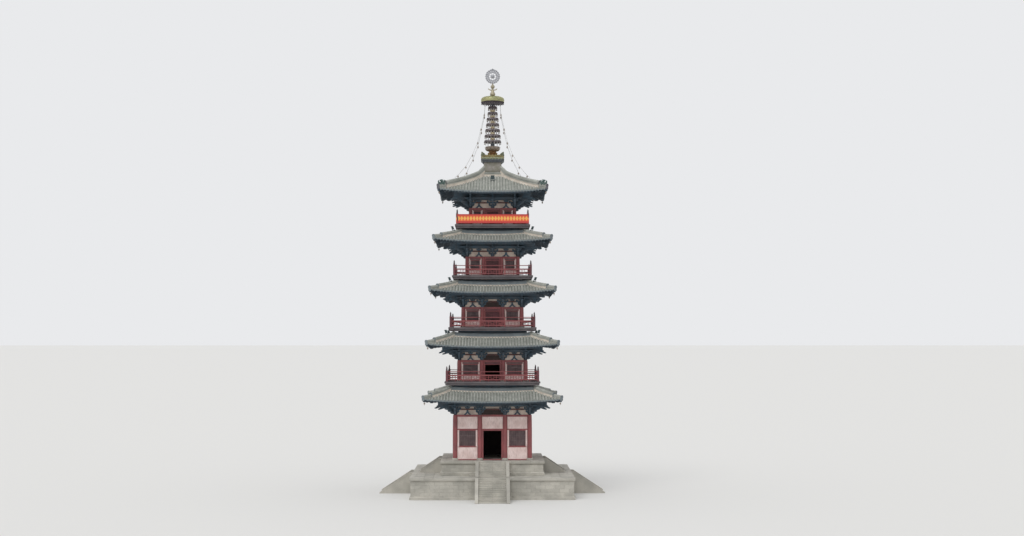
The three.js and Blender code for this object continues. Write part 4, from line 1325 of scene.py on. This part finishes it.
def leaf(width, rows, thick=0.022):
    """A cupped leaf that points to the front. Its rows are (distance out, height, share of the
    width) points from the foot to the tip."""
    rings = []
    for out, z, share in rows:
        w = max(0.004, width * share)
        front = [(-0.5, 0.6, 1.0), (0.0, 1.0, 1.4), (0.5, 0.6, 1.0)]
        back = [(0.45, -0.3, -0.2), (0.0, -0.2, 0.0), (-0.45, -0.3, -0.2)]
        ring = [(-w, -out, z)]
        ring += [(w * a, -out - thick * b, z - thick * c) for a, b, c in front]
        ring += [(w, -out, z)]
        ring += [(w * a, -out - thick * b, z - thick * c) for a, b, c in back]
        rings.append(ring)
    return loft(rings)


def petals(parts, count, width, rows, start=0.0):
    """Leaves set round the axis."""
    for k in range(count):
        parts.put(placed(leaf(width, rows), turn=start + 2 * math.pi * k / count))


def raised(profile, base):
    """A profile or a leaf's rows with every height raised to a base."""
    return [(point[0], point[1] + base, *point[2:]) for point in profile]


z = seat_high[2]
leaves, horns, vase, bowl = Gathered(), Gathered(), Gathered(), Gathered()
tray = [
    (1.04, -0.18), (1.1, -0.15), (1.11, -0.08), (1.07, -0.02),
    (1.06, 0.05), (1.05, 0.12), (0.98, 0.18), (0.7, 0.24),
]
leaves.put(turned(raised(tray, z), square=True))
side_rows = [
    (0.98, 0.02, 0.8), (1.07, 0.08, 1.0), (1.09, 0.16, 0.85), (1.08, 0.24, 0.4), (1.1, 0.27, 0.02),
]
hanging_rows = [
    (1.06, 0.02, 0.8), (1.1, -0.04, 1.0), (1.13, -0.12, 0.85), (1.13, -0.2, 0.4),
    (1.12, -0.25, 0.02),
]
for k in range(-3, 4):
    leaves.put(placed(leaf(0.15, raised(side_rows, z)), (k * 0.29, 0, 0)), SIDES)
    horns.put(placed(leaf(0.14, raised(hanging_rows, z)), (k * 0.3, 0, 0)), SIDES)
horn = [
    (0.8, 0.14), (1.4, 0.08), (1.47, 0.2), (1.49, 0.36),
    (1.53, 0.54), (1.4, 0.5), (1.2, 0.34), (1.0, 0.26),
]
root = horn[0][0]
for half, shrink in ((0.07, 1.0), (0.14, 0.8)):
    outline = [(root + (out - root) * shrink, z + h * shrink) for out, h in horn]
    horns.put(board(outline, half), CORNERS)
corner_rows = [
    (1.2, 0.08, 0.9), (1.38, 0.12, 1.0), (1.45, 0.22, 0.8), (1.48, 0.36, 0.5), (1.5, 0.46, 0.3),
    (1.54, 0.54, 0.03),
]
horns.put(leaf(0.26, raised(corner_rows, z)), CORNERS)
make("spire_corner_leaves", horns, verdigris)
inner_rows = [
    (0.66, 0.16, 0.7), (0.8, 0.2, 1.0), (0.9, 0.27, 0.8), (0.93, 0.34, 0.4), (0.95, 0.4, 0.03),
]
petals(leaves, 8, 0.2, raised(inner_rows, z), math.pi / 8)
make("spire_leaf_tray", leaves, gilt, ["spire_lotus_base"])
vase_profile = [
    (0.72, 0.18), (0.68, 0.24), (0.56, 0.3), (0.44, 0.36), (0.46, 0.43), (0.5, 0.49),
    (0.45, 0.56), (0.36, 0.61), (0.36, 0.66), (0.42, 0.7), (0.44, 0.74),
]
vase.put(turned(raised(vase_profile, z), 32))
make("spire_vase", vase, red_copper)
bowl_profile = [
    (0.4, 0.72), (0.56, 0.78), (0.66, 0.9), (0.7, 1.04),
    (0.72, 1.14), (0.68, 1.17), (0.3, 1.12), (0.2, 1.12),
]
bowl.put(turned(raised(bowl_profile, z), 32))
outer_rows = [
    (0.42, 0.74, 0.6), (0.6, 0.8, 1.0), (0.71, 0.92, 1.0), (0.735, 1.04, 0.8), (0.745, 1.14, 0.3),
    (0.76, 1.17, 0.03),
]
petals(bowl, 12, 0.15, raised(outer_rows, z))
lower_rows = [
    (0.4, 0.74, 0.6), (0.56, 0.77, 1.0), (0.66, 0.86, 0.9), (0.7, 0.95, 0.4), (0.72, 0.99, 0.03),
]
petals(bowl, 12, 0.12, raised(lower_rows, z), math.pi / 12)
make("spire_lotus_bowl", bowl, dull_bronze)

# Mast and seven rings
# A cast mast carries seven bronze hoops that shrink as they climb. Each has a pierced rim riveted
# to twelve spokes, with small chimes hung from it. Bulging gilded hubs fill the mast between
# them, and a shallow cap covers the top one.
RING_LEVEL = 34.8
RING_SPACING = 0.57
RING_RADIUS = [0.88, 0.83, 0.76, 0.68, 0.62, 0.53, 0.48]
RIM_HALF = 0.07
RIM_BAR_PITCH = 0.14
RIM_BAR_HALF = 0.045
SPOKES = 12
SPOKE_HALF = 0.03
CHIMES = 16
mast_low, mast_high = real_box("spire_mast_and_rings")

# Cast bronze bare to the weather: a dark brownish grey, with little shine left
black_bronze = weathered(
    "blackened_bronze", ("#706567", "#5f5658", "#3e393a"), patch_mm=200, grain_mm=20, each=0.06,
    rough=0.55, metal=0.5, relief_mm=1.0,
)
# The chimes rub as they swing, which keeps their bronze pale and a little bright
pale_bronze = weathered(
    "rubbed_pale_bronze", ("#b7b2ab", "#a29d97", "#736e69"), patch_mm=150, grain_mm=12, dirt=0.4,
    each=0.06, rough=0.5, metal=0.5, relief_mm=0.6,
)
# Hubs keep the most of their gilding, in a pale straw colour that is partly painted light, lifting them
# out of the shade of the rings
hub_gilt_with_painted_light = weathered(
    "hub_gilding_painted_light", ("#ecdcb8", "#d3c4a2", "#8f846a"), patch_mm=150, grain_mm=15, each=0.08,
    rough=0.5, metal=0.4, relief_mm=0.8,
)


def hoop(radius, z, wire, sides=32):
    """A ring of round wire about the axis."""
    around = [2 * math.pi * k / sides for k in range(sides)]
    section = [(radius + x, z + y) for x, y in round_section(wire, 6)]
    rings = [[(r * math.cos(a), r * math.sin(a), h) for r, h in section] for a in around]
    return loft(rings, wrap=True)


mast, rims, chimes, hubs = Gathered(), Gathered(), Gathered(), Gathered()
foot = mast_low[2]
mast.put(turned([(0.2, foot), (0.2, foot + 0.4), (0.16, foot + 0.5), (0.12, mast_high[2])], 16))
for k, radius in enumerate(RING_RADIUS):
    z = RING_LEVEL + k * RING_SPACING
    rims.put(hoop(radius - 0.07, z + RIM_HALF + 0.02, 0.025))
    rims.put(hoop(radius - 0.035, z - RIM_HALF, 0.035))
    rims.put(hoop(radius * 0.55, z - 0.02, 0.03))
    low, high = z - RIM_HALF, z + RIM_HALF
    bars = round(2 * math.pi * radius / RIM_BAR_PITCH)
    outline = [(radius - 0.01, low), (radius - 0.05, high), (radius - 0.08, high), (radius - 0.05, low)]
    for n in range(bars):
        rims.put(placed(board(outline, RIM_BAR_HALF), turn=2 * math.pi * n / bars))
    spoke = [(radius - 0.03, low), (0.1, z - 0.1), (0.1, z + 0.06), (radius - 0.06, z)]
    for n in range(SPOKES):
        rims.put(placed(board(spoke, SPOKE_HALF), turn=2 * math.pi * n / SPOKES))
    pendant = [(0.01, 0.0), (0.03, -0.05), (0.045, -0.19), (0.02, -0.2)]
    hung = turned(raised(pendant, low - 0.02), 8, centre=(0, 0.05 - radius))
    for n in range(CHIMES):
        chimes.put(placed(hung, turn=2 * math.pi * (n + 0.5) / CHIMES))
    if k < len(RING_RADIUS) - 1:
        hub = [(0.16, 0.09), (0.2, 0.14), (0.24, 0.2), (0.25, 0.27), (0.22, 0.34), (0.19, 0.4)]
        hubs.put(turned(raised([*hub, (0.16, 0.42)], z), 20))
cap = [(radius - 0.02, 0.08), (radius - 0.05, 0.12), (radius * 0.6, 0.14), (0.14, 0.17)]
rims.put(turned(raised(cap, z), 24))
make("spire_mast_and_hoops", rims, black_bronze, ["spire_mast_and_rings"])
make("spire_mast", mast, cast_slate)
make("spire_ring_chimes", chimes, pale_bronze)
make("spire_hubs", hubs, hub_gilt_with_painted_light)

# Canopy
# A low gilded dome with a deep banded rim, dark underneath, and a short fringe of dark drops on
# the edge. It is beaten from copper sheet in segments that are seamed over ribs.
canopy_low, canopy_high = real_box("spire_canopy")
z = canopy_low[2]
radius = canopy_high[0] - 0.03
RIBS = 16
DROPS = 32

# Gilding through which the copper's green shows: soft, yellowish green, half shiny
green_gilt = weathered(
    "greened_gilding", ("#aaa678", "#96976f", "#666a50"), patch_mm=300, grain_mm=22, dirt=0.45,
    each=0.06, rough=0.48, metal=0.5, relief_mm=1.0,
)
# The underside and the drops are dark copper, painted near-black as the shade under the canopy
shaded_canopy_underside = weathered(
    "shaded_canopy_underside", ("#463d43", "#3e363a", "#282326"), patch_mm=200, grain_mm=20, rough=0.65,
    metal=0.3, relief_mm=1.0,
)
dome, valance = Gathered(), Gathered()
skirt = [(radius - 0.03, 0.16), (radius, 0.2), (radius - 0.02, 0.44), (radius - 0.1, 0.56)]
crown = [(radius - 0.32, 0.66), (0.5, 0.72), (0.24, 0.76), (0.16, 0.8)]
dome.put(turned(raised(skirt + crown, z), 40))
rib = [(0, -r - 0.012, h) for r, h in raised([*skirt[2:], *crown[:3]], z + 0.005)]
for k in range(RIBS):
    dome.put(placed(sweep(rib, round_section(0.022, 6)), turn=2 * math.pi * k / RIBS))
dome.put(hoop(radius - 0.01, z + 0.34, 0.025, 40))
make("spire_canopy_dome", dome, green_gilt, ["spire_canopy"])
for k in range(DROPS):
    low = -0.13 if k % 4 == 0 else -0.06
    outline = [(-0.06, 0.06), (0.06, 0.06), (0.065, 0.0), (0.0, low), (-0.065, 0.0)]
    drop = panel(raised(outline, z), (radius - 0.05, radius - 0.03))
    valance.put(placed(drop, turn=2 * math.pi * k / DROPS))
ceiling = [(0.16, 0.12), (0.5, 0.1), (radius - 0.1, 0.02), (radius - 0.04, 0.02)]
ceiling += [(radius - 0.04, 0.32), (radius - 0.1, 0.34), (0.3, 0.4)]
valance.put(turned(raised(ceiling, z), 40))
valance.put(hoop(radius - 0.03, z + 0.13, 0.035, 40))
make("spire_canopy_valance", valance, shaded_canopy_underside)

# Finial
# A gourd, a crescent and a bead of beaten copper on the mast's end, under an upright disc that is
# cast in openwork: a jewel in three hoops, with scrolls across them and flames round the edge.
finial_top = real_box("spire_finial")[1][2]
DISC_CENTRE = 41.38
DISC_RADIUS = 0.68
MIDDLE_HOOP = 0.52
INNER_HOOP = 0.4
JEWEL_RADIUS = 0.2
FLAMES = 20
ARMS = 8

# Copper with a thin skin of old gilding, olive in the weather
olive_copper = weathered(
    "olive_gilt_copper", ("#a9a08a", "#98917c", "#645f4f"), patch_mm=180, grain_mm=18, each=0.06,
    rough=0.5, metal=0.5, relief_mm=1.0,
)
# A tin-rich casting, unpolished: cool light grey with a soft sheen
white_metal = weathered(
    "dull_white_metal", ("#a6a7ac", "#95969b", "#68686e"), patch_mm=180, grain_mm=16, each=0.08,
    rough=0.5, metal=0.4, relief_mm=0.8,
)


def on_disc(outline, angle):
    """A flat outline of (distance from the disc's centre, across) points turned to an angle."""
    c, s = math.cos(angle), math.sin(angle)
    return [(r * c - a * s, DISC_CENTRE + r * s + a * c) for r, a in outline]


def upright(shape):
    """A shape about the upright axis, tipped to face the front."""
    points, faces = shape
    return np.asarray(points)[:, (0, 2, 1)], faces


z = canopy_high[2]
parts = Gathered()
gourd = [(0.19, 0.0), (0.25, 0.08), (0.27, 0.16), (0.24, 0.26), (0.19, 0.36), (0.15, 0.46)]
stem = [(0.1, 0.56), (0.09, 0.62), (0.09, 0.74)]
bead = [(0.16, 0.78), (0.22, 0.92), (0.18, 1.04), (0.09, 1.1), (0.07, 1.24)]
parts.put(turned(raised(gourd + stem + bead, z), 24))
crescent = []
for reach, deep in ((0.47, 0.24), (-0.41, 0.13)):
    for k in range(13):
        a = math.pi + math.pi * k / 12
        crescent.append((reach * math.cos(a), z + 0.76 + deep * math.sin(a)))
parts.put(panel(crescent, (-0.045, 0.045)))
make("spire_gourd_and_crescent", parts, olive_copper, ["spire_finial"])
parts = Gathered()
for radius, wire in ((DISC_RADIUS - 0.03, 0.055), (MIDDLE_HOOP, 0.025), (INNER_HOOP, 0.035)):
    parts.put(placed(upright(hoop(radius, 0.0, wire, 40)), (0, 0, DISC_CENTRE)))
for k in range(FLAMES):
    a = math.pi / 2 + 2 * math.pi * k / FLAMES
    tip = DISC_RADIUS + (0.13 if k == 0 else 0.085)
    root = DISC_RADIUS - 0.02
    tongue = [(root, -0.1), (tip - 0.05, -0.06), (tip, 0.02), (tip - 0.04, 0.035), (root, 0.1)]
    parts.put(panel(on_disc(tongue, a), (-0.022, 0.022)))
    scroll = [(INNER_HOOP, -0.06), (0.5, -0.1), (0.63, -0.02), (0.64, 0.07), (MIDDLE_HOOP, 0.0)]
    parts.put(panel(on_disc([*scroll, (INNER_HOOP, 0.04)], a), (-0.018, 0.018)))
near = JEWEL_RADIUS - 0.03
arm = [(near, -0.02), (INNER_HOOP, -0.015), (INNER_HOOP, 0.015), (near, 0.02)]
for k in range(ARMS):
    parts.put(panel(on_disc(arm, math.pi / ARMS + 2 * math.pi * k / ARMS), (-0.02, 0.02)))
angles = [math.pi * (k / 8 - 0.5) * 0.96 for k in range(9)]
jewel = [(JEWEL_RADIUS * math.cos(a), JEWEL_RADIUS * math.sin(a)) for a in angles]
parts.put(turned(raised(jewel, DISC_CENTRE), 20))
peak = [(-0.2, DISC_RADIUS - 0.04), (-0.1, DISC_RADIUS + 0.05), (0.0, finial_top - DISC_CENTRE)]
peak += [(0.1, DISC_RADIUS + 0.05), (0.2, DISC_RADIUS - 0.04)]
parts.put(panel(raised(peak, DISC_CENTRE), (-0.03, 0.03)))
make("spire_flame_disc", parts, white_metal)

# Chains and bells
# Four thin chains of galvanised iron links hang from under the canopy to the hips of the top
# roof, with six cast bronze wind bells on each. A bell hangs under each corner of every roof too.
CHAIN_ROUTE = [
    (0.74, 38.6), (0.83, 37.5), (1.14, 36.0), (1.5, 34.5),
    (1.98, 33.28), (2.6, 32.08), (3.3, 31.14), (3.66, 30.8),
]
BELL_HEIGHTS = [37.5, 36.0, 34.6, 33.3, 32.05, 31.07]
LINK_LENGTH = 0.13
LINK_HALF_WIDTH = 0.02
LINK_WIRE = 0.009
BELL_SIZE = 0.18

# Hot-dipped zinc on iron: light grey, spangled, dulled by the weather
galvanised = weathered(
    "weathered_galvanised_iron", ("#b3b4b2", "#a09f9c", "#77746f"), patch_mm=300, grain_mm=15,
    dirt=0.4, each=0.08, rough=0.5, metal=0.6, relief_mm=0.4,
)


def bell(size, top):
    """A cast bell with a rolled lip, a loop and a clapper with a wind vane, hung by its top."""
    outside = [(0.1, -0.2), (0.3, -0.26), (0.36, -0.4), (0.38, -0.7), (0.46, -0.95), (0.5, -1.0)]
    inside = [(0.44, -1.0), (0.33, -0.7), (0.3, -0.42), (0.08, -0.36)]
    loop = placed(upright(hoop(0.12, 0.0, 0.035, 10)), (0, 0, -0.12))
    rod = block((-0.025, 0.025), (-0.025, 0.025), (-1.15, -0.38))
    vane = panel([(-0.2, -1.15), (0.2, -1.15), (0.26, -1.4), (0.0, -1.55), (-0.26, -1.4)], (-0.015, 0.015))
    body = turned(outside + inside, 12)
    return [placed(shape, top, size=size) for shape in (body, loop, rod, vane)]


route = np.array([(0.0, -t * math.sqrt(2), z) for t, z in CHAIN_ROUTE])
legs = np.concatenate([[0], np.cumsum(np.linalg.norm(np.diff(route, axis=0), axis=1))])
links, bells = Gathered(), Gathered()
marks = np.linspace(0, legs[-1], int(legs[-1] / LINK_LENGTH))
spots = points_along(route, legs, marks)
reach = LINK_LENGTH * 0.62
for k, (here, after) in enumerate(zip(spots, spots[1:])):
    along = (after - here) / np.linalg.norm(after - here)
    across = np.array([1.0, 0, 0]) if k % 2 else np.cross(along, [1.0, 0, 0])
    third = np.cross(along, across)
    rings = []
    for c, s in round_section(1.0, 10):
        oval = along * c * reach + across * s * LINK_HALF_WIDTH
        outward = along * c * LINK_HALF_WIDTH + across * s * reach
        outward /= np.linalg.norm(outward)
        wire = [x * outward + y * third for x, y in round_section(LINK_WIRE, 4)]
        rings.append([(here + after) / 2 + oval + offset for offset in wire])
    links.put(loft(rings, wrap=True), CORNERS)
for level in BELL_HEIGHTS:
    out = float(np.interp(-level, -route[:, 2], route[:, 1]))
    for shape in bell(BELL_SIZE, (0, out, level - 0.02)):
        bells.put(shape, CORNERS)
corners = ("front_left", "front_right", "back_right", "back_left")
make("spire_chain_links", links, galvanised, [f"spire_chain_{corner}" for corner in corners])
make("spire_chain_bells", bells, dull_bronze)
bells = Gathered()
for i in STOREYS:
    d = EAVE_HALF[i] - 0.17
    z = float(under_height(i, d, d)) - 0.16
    for shape in bell(BELL_SIZE, (0, -d * math.sqrt(2), z)):
        bells.put(shape, CORNERS)
make("eave_corner_bells", bells, dull_bronze)

# Roof figures and lamps
# A stoneware figure sits on each hip of the top roof, glazed green and bedded on the ridge caps.
# Small iron floodlights stand on the hips of the middle roofs and at the head of the front slope.
LAMP_STOREYS = (1, 2, 3)
HIP_LAMP_LEAN = 0.45
FRONT_LAMP_LEAN = 0.1
FRONT_LAMP_OUT = 1.98

# Fired lead glaze over stoneware: deep green, smooth, shinier than anything else on the roof
glaze = weathered(
    "green_stoneware_glaze", ("#4f6660", "#475a56", "#2f3b39"), patch_mm=120, grain_mm=20,
    each=0.04, rough=0.35, relief_mm=1.0,
)
# Stove enamel on the lamp cases: dark green-grey, even, with a low sheen
lamp_enamel = weathered(
    "dark_lamp_enamel", ("#3c4b4e", "#445356", "#2a3335"), patch_mm=200, grain_mm=15, dirt=0.4,
    each=0.05, rough=0.5, relief_mm=0.4,
)
figures = Gathered()
crest_line = hip_line(TOP, HIP_STEP[TOP] + 0.02, 0.99, LOWER_RAISE[TOP], 9)


def curl(spot, points, thick, sizes, x=0.0):
    """A round limb through (distance in from a spot, height above it) points."""
    path = [(x, spot[1] + inward, spot[2] + up) for inward, up in points]
    figures.put(sweep(path, round_section(thick, 10), sizes=sizes, up=(1, 0, 0)), CORNERS)


seat = crest_line[3] - (0, 0, 0.08)
body = [(0.14, -0.03), (0.08, 0.14), (-0.02, 0.26), (-0.14, 0.34), (-0.3, 0.34)]
tail = [(0.16, 0.0), (0.3, 0.1), (0.34, 0.26), (0.28, 0.4), (0.18, 0.38)]
ear = [(-0.06, 0.34), (-0.02, 0.43), (0.04, 0.49)]
foreleg = [(-0.04, 0.2), (-0.14, 0.06), (-0.16, -0.03)]
curl(seat, body, 0.15, (1.1, 1.15, 0.9, 0.8, 0.4))
curl(seat, tail, 0.09, (1.1, 1, 0.8, 0.6, 0.3))
for side in (-1, 1):
    curl(seat, ear, 0.035, (1.2, 0.9, 0.2), side * 0.09)
    curl(seat, foreleg, 0.05, (1.1, 0.9, 1.1), side * 0.09)
horn = [(0.12, -0.06), (-0.04, 0.05), (-0.14, 0.18), (-0.14, 0.32)]
curl(crest_line[6], horn, 0.11, (1.2, 1.1, 0.7, 0.2))
make("top_roof_hip_figures", figures, glaze)


def floodlight(parts, foot, lean, turn, wide=0.12, tall=0.3):
    """A flat iron lamp box on a stirrup, leaning back from its foot."""
    c, s = math.cos(lean), math.sin(lean)
    body = block((-wide, wide), (-0.05, 0.05), (0.1, 0.1 + tall), 0.015)
    hood = block((-wide - 0.015, wide + 0.015), (-0.075, 0.05), (0.08 + tall, 0.12 + tall), 0.01)
    ends = (-wide - 0.02, wide + 0.02)
    arms = [block((x - 0.012, x + 0.012), (-0.02, 0.02), (0.0, 0.24)) for x in ends]
    plinth = block((-wide - 0.03, wide + 0.03), (-0.04, 0.04), (-0.03, 0.01), 0.006)
    for points, faces in (body, hood, *arms, plinth):
        x, y, z = np.asarray(points).T
        leaned = np.stack([x, y * c - z * s, y * s + z * c], axis=1)
        parts.put(placed((leaned, faces), foot, turn))


lamps = Gathered()
for i in LAMP_STOREYS:
    d = deck_half[i + 1] + 0.15
    t = (d - SHELF_HALF[i]) / (EAVE_HALF[i] - SHELF_HALF[i])
    z = float(slope_height(i, t, 1.0)) + HIP_RAISE[i]
    for corner in CORNERS:
        a = corner * math.pi / 2
        spot = (math.sin(a) * d * math.sqrt(2), -math.cos(a) * d * math.sqrt(2), z)
        floodlight(lamps, spot, HIP_LAMP_LEAN, a)
lamp_foot = (0, -FRONT_LAMP_OUT, float(tile_height(TOP, 0.0, FRONT_LAMP_OUT)) + 0.06)
floodlight(lamps, lamp_foot, FRONT_LAMP_LEAN, 0.0, 0.18, 0.36)
make("roof_floodlights", lamps, lamp_enamel)

# Banner
# A plain orange-red cloth tied along the front of the highest balustrade, printed with a row of
# yellow lozenges. It is woven polyester, hemmed all round, with an eyelet about every metre.
banner_low, banner_high = real_box("gallery_5_banner")
banner_half = banner_high[0]
banner_z = (banner_low[2], banner_high[2])
cloth_y = (banner_low[1] + banner_high[1]) / 2
COLUMNS_OF_CLOTH = 160
ROWS_OF_CLOTH = 16
LOZENGE_PITCH = 0.3
LOZENGE_HEIGHT = 0.5
WEAVE_MM = 12
WEAVE_RELIEF_MM = 2
FADE_MM = 900
EYELETS = 8

# Printed polyester: bright, matt with a faint sheen, faded in broad patches by the sun. Its threads
# are too fine to show, so the weave is drawn far coarser than it is
cloth = bpy.data.materials.new("printed_banner_cloth")
cloth.use_nodes = True
tree = cloth.node_tree
tree.nodes.clear()
place = node(tree, "TexCoord").outputs["Object"]
where = node(tree, "SeparateXYZ", {"Vector": place}).outputs
pitch = LOZENGE_PITCH * M
along = node(tree, "Math", {0: where[0], 1: 1 / pitch}, operation="MULTIPLY").outputs[0]
wave = node(tree, "Math", {0: along, 1: 0.5}, operation="PINGPONG").outputs[0]
middle_z = ((banner_z[0] + banner_z[1]) / 2 + 0.03) * M
up = node(tree, "Math", {0: where[2], 1: middle_z}, operation="SUBTRACT").outputs[0]
up = node(tree, "Math", {0: up}, operation="ABSOLUTE").outputs[0]
up = node(tree, "Math", {0: up, 1: 1 / (LOZENGE_HEIGHT * M)}, operation="MULTIPLY").outputs[0]
total = node(tree, "Math", {0: wave, 1: up}, operation="ADD").outputs[0]
edge = {"Value": total, "From Min": 0.4, "From Max": 0.5, "To Min": 1.0, "To Max": 0.0}
inside = node(tree, "MapRange", edge).outputs[0]
hem = node(tree, "MapRange", {"Value": up, "From Min": 0.5, "From Max": 0.6}).outputs[0]
hole = node(tree, "MapRange", {"Value": total, "From Min": 0.06, "From Max": 0.12}).outputs[0]
shown = node(tree, "Math", {0: inside, 1: hole}, operation="MULTIPLY").outputs[0]
per_thread = 1000 / (WEAVE_MM * M)
weave = node(tree, "TexNoise", {"Vector": place, "Scale": per_thread, "Detail": 2.0}).outputs[0]
fade = node(tree, "TexNoise", {"Vector": place, "Scale": 1000 / (FADE_MM * M)}).outputs[0]
ground = {"Factor": fade, 6: colour("#ea5c46"), 7: colour("#f2784e")}
printed = node(tree, "Mix", ground, data_type="RGBA").outputs[2]
for where_dyed, dye in ((hem, "#cc4a46"), (shown, "#ffca68")):
    over = {"Factor": where_dyed, 6: printed, 7: colour(dye)}
    printed = node(tree, "Mix", over, data_type="RGBA").outputs[2]
relief = {"Height": weave, "Strength": 0.4, "Distance": WEAVE_RELIEF_MM * M / 1000}
bump = node(tree, "Bump", relief).outputs[0]
surface = {"Base Color": printed, "Roughness": 0.8, "Normal": bump, "Sheen Weight": 0.2}
shader = node(tree, "BsdfPrincipled", surface)
node(tree, "OutputMaterial", {"Surface": shader.outputs[0]})

parts = Gathered()
rows = []
tall = banner_z[1] - banner_z[0]
for r in range(ROWS_OF_CLOTH + 1):
    share = r / ROWS_OF_CLOTH
    row = []
    for c in range(COLUMNS_OF_CLOTH + 1):
        x = -banner_half + 2 * banner_half * c / COLUMNS_OF_CLOTH
        slack = math.sin(math.pi * ((x + banner_half) % 1.0))
        wide_ripple = 0.012 * math.sin(x * 7.1 + share * 2.0) * (1 - 0.6 * share)
        fine_ripple = 0.006 * math.sin(x * 17.0 + share * 5.0)
        sag = -0.012 * slack * share ** 3 + 0.008 * slack * (1 - share) ** 3
        row.append((x, cloth_y + (wide_ripple + fine_ripple), banner_z[0] + tall * share + sag))
    rows.append(row)
parts.put(loft(rows, around=False, caps=False))
banner = make(
    "gallery_5_banner_cloth", parts, cloth, ["gallery_5_banner"], closed=False, crease=180
)
eyelets = Gathered()
eyelet = upright(hoop(0.022, 0.0, 0.008, 10))
for k in range(EYELETS):
    x = -banner_half + 0.06 + (2 * banner_half - 0.12) * k / (EYELETS - 1)
    for z in (banner_z[0] + 0.05, banner_z[1] - 0.05):
        eyelets.put(placed(eyelet, (x, cloth_y - 0.004, z)))
make("gallery_5_banner_eyelets", eyelets, gilt)

# Studio
# Not part of the tower: a pale floor and an even pale sky, with one wide soft light from high on
# the left of the camera, which stands at the photograph's angle.
CAMERA_DISTANCE = 146.85
CAMERA_HEIGHT = 14.98  # about a third of the tower's, so that the camera looks slightly up
CAMERA_TILT = 92.797
CAMERA_TURN = -0.758
LENS_MM = 51.846
SENSOR_MM = 36.0
bpy.ops.mesh.primitive_plane_add(size=4000, location=(0, 0, 0))
floor = bpy.context.object
floor.name = "studio_floor"
# Matt painted board: even and pale, without a reflection
pale = bpy.data.materials.new("pale_studio_floor")
pale.use_nodes = True
shade = pale.node_tree.nodes["Principled BSDF"]
shade.inputs["Base Color"].default_value = colour("#d9d8d5")
shade.inputs["Roughness"].default_value = 0.95
floor.data.materials.append(pale)

scene = bpy.context.scene
scene.view_settings.view_transform = "Standard"
world = bpy.data.worlds.new("pale_sky")
scene.world = world
world.use_nodes = True
sky = world.node_tree.nodes["Background"]
sky.inputs["Color"].default_value = colour("#e9eaec")
sky.inputs["Strength"].default_value = 1.0
lamp = bpy.data.lights.new("soft_key", "SUN")
lamp.energy = 1.1
lamp.angle = math.radians(35)
key = bpy.data.objects.new("soft_key", lamp)
key.rotation_euler = (math.radians(38), 0, math.radians(-28))
scene.collection.objects.link(key)

lens = bpy.data.cameras.new("camera")
lens.lens = LENS_MM
lens.sensor_width = SENSOR_MM
lens.clip_end = 5000
camera = bpy.data.objects.new("camera", lens)
camera.location = (0.0, -CAMERA_DISTANCE * M, CAMERA_HEIGHT * M)
camera.rotation_euler = (math.radians(CAMERA_TILT), 0.0, math.radians(CAMERA_TURN))
scene.collection.objects.link(camera)
scene.camera = camera
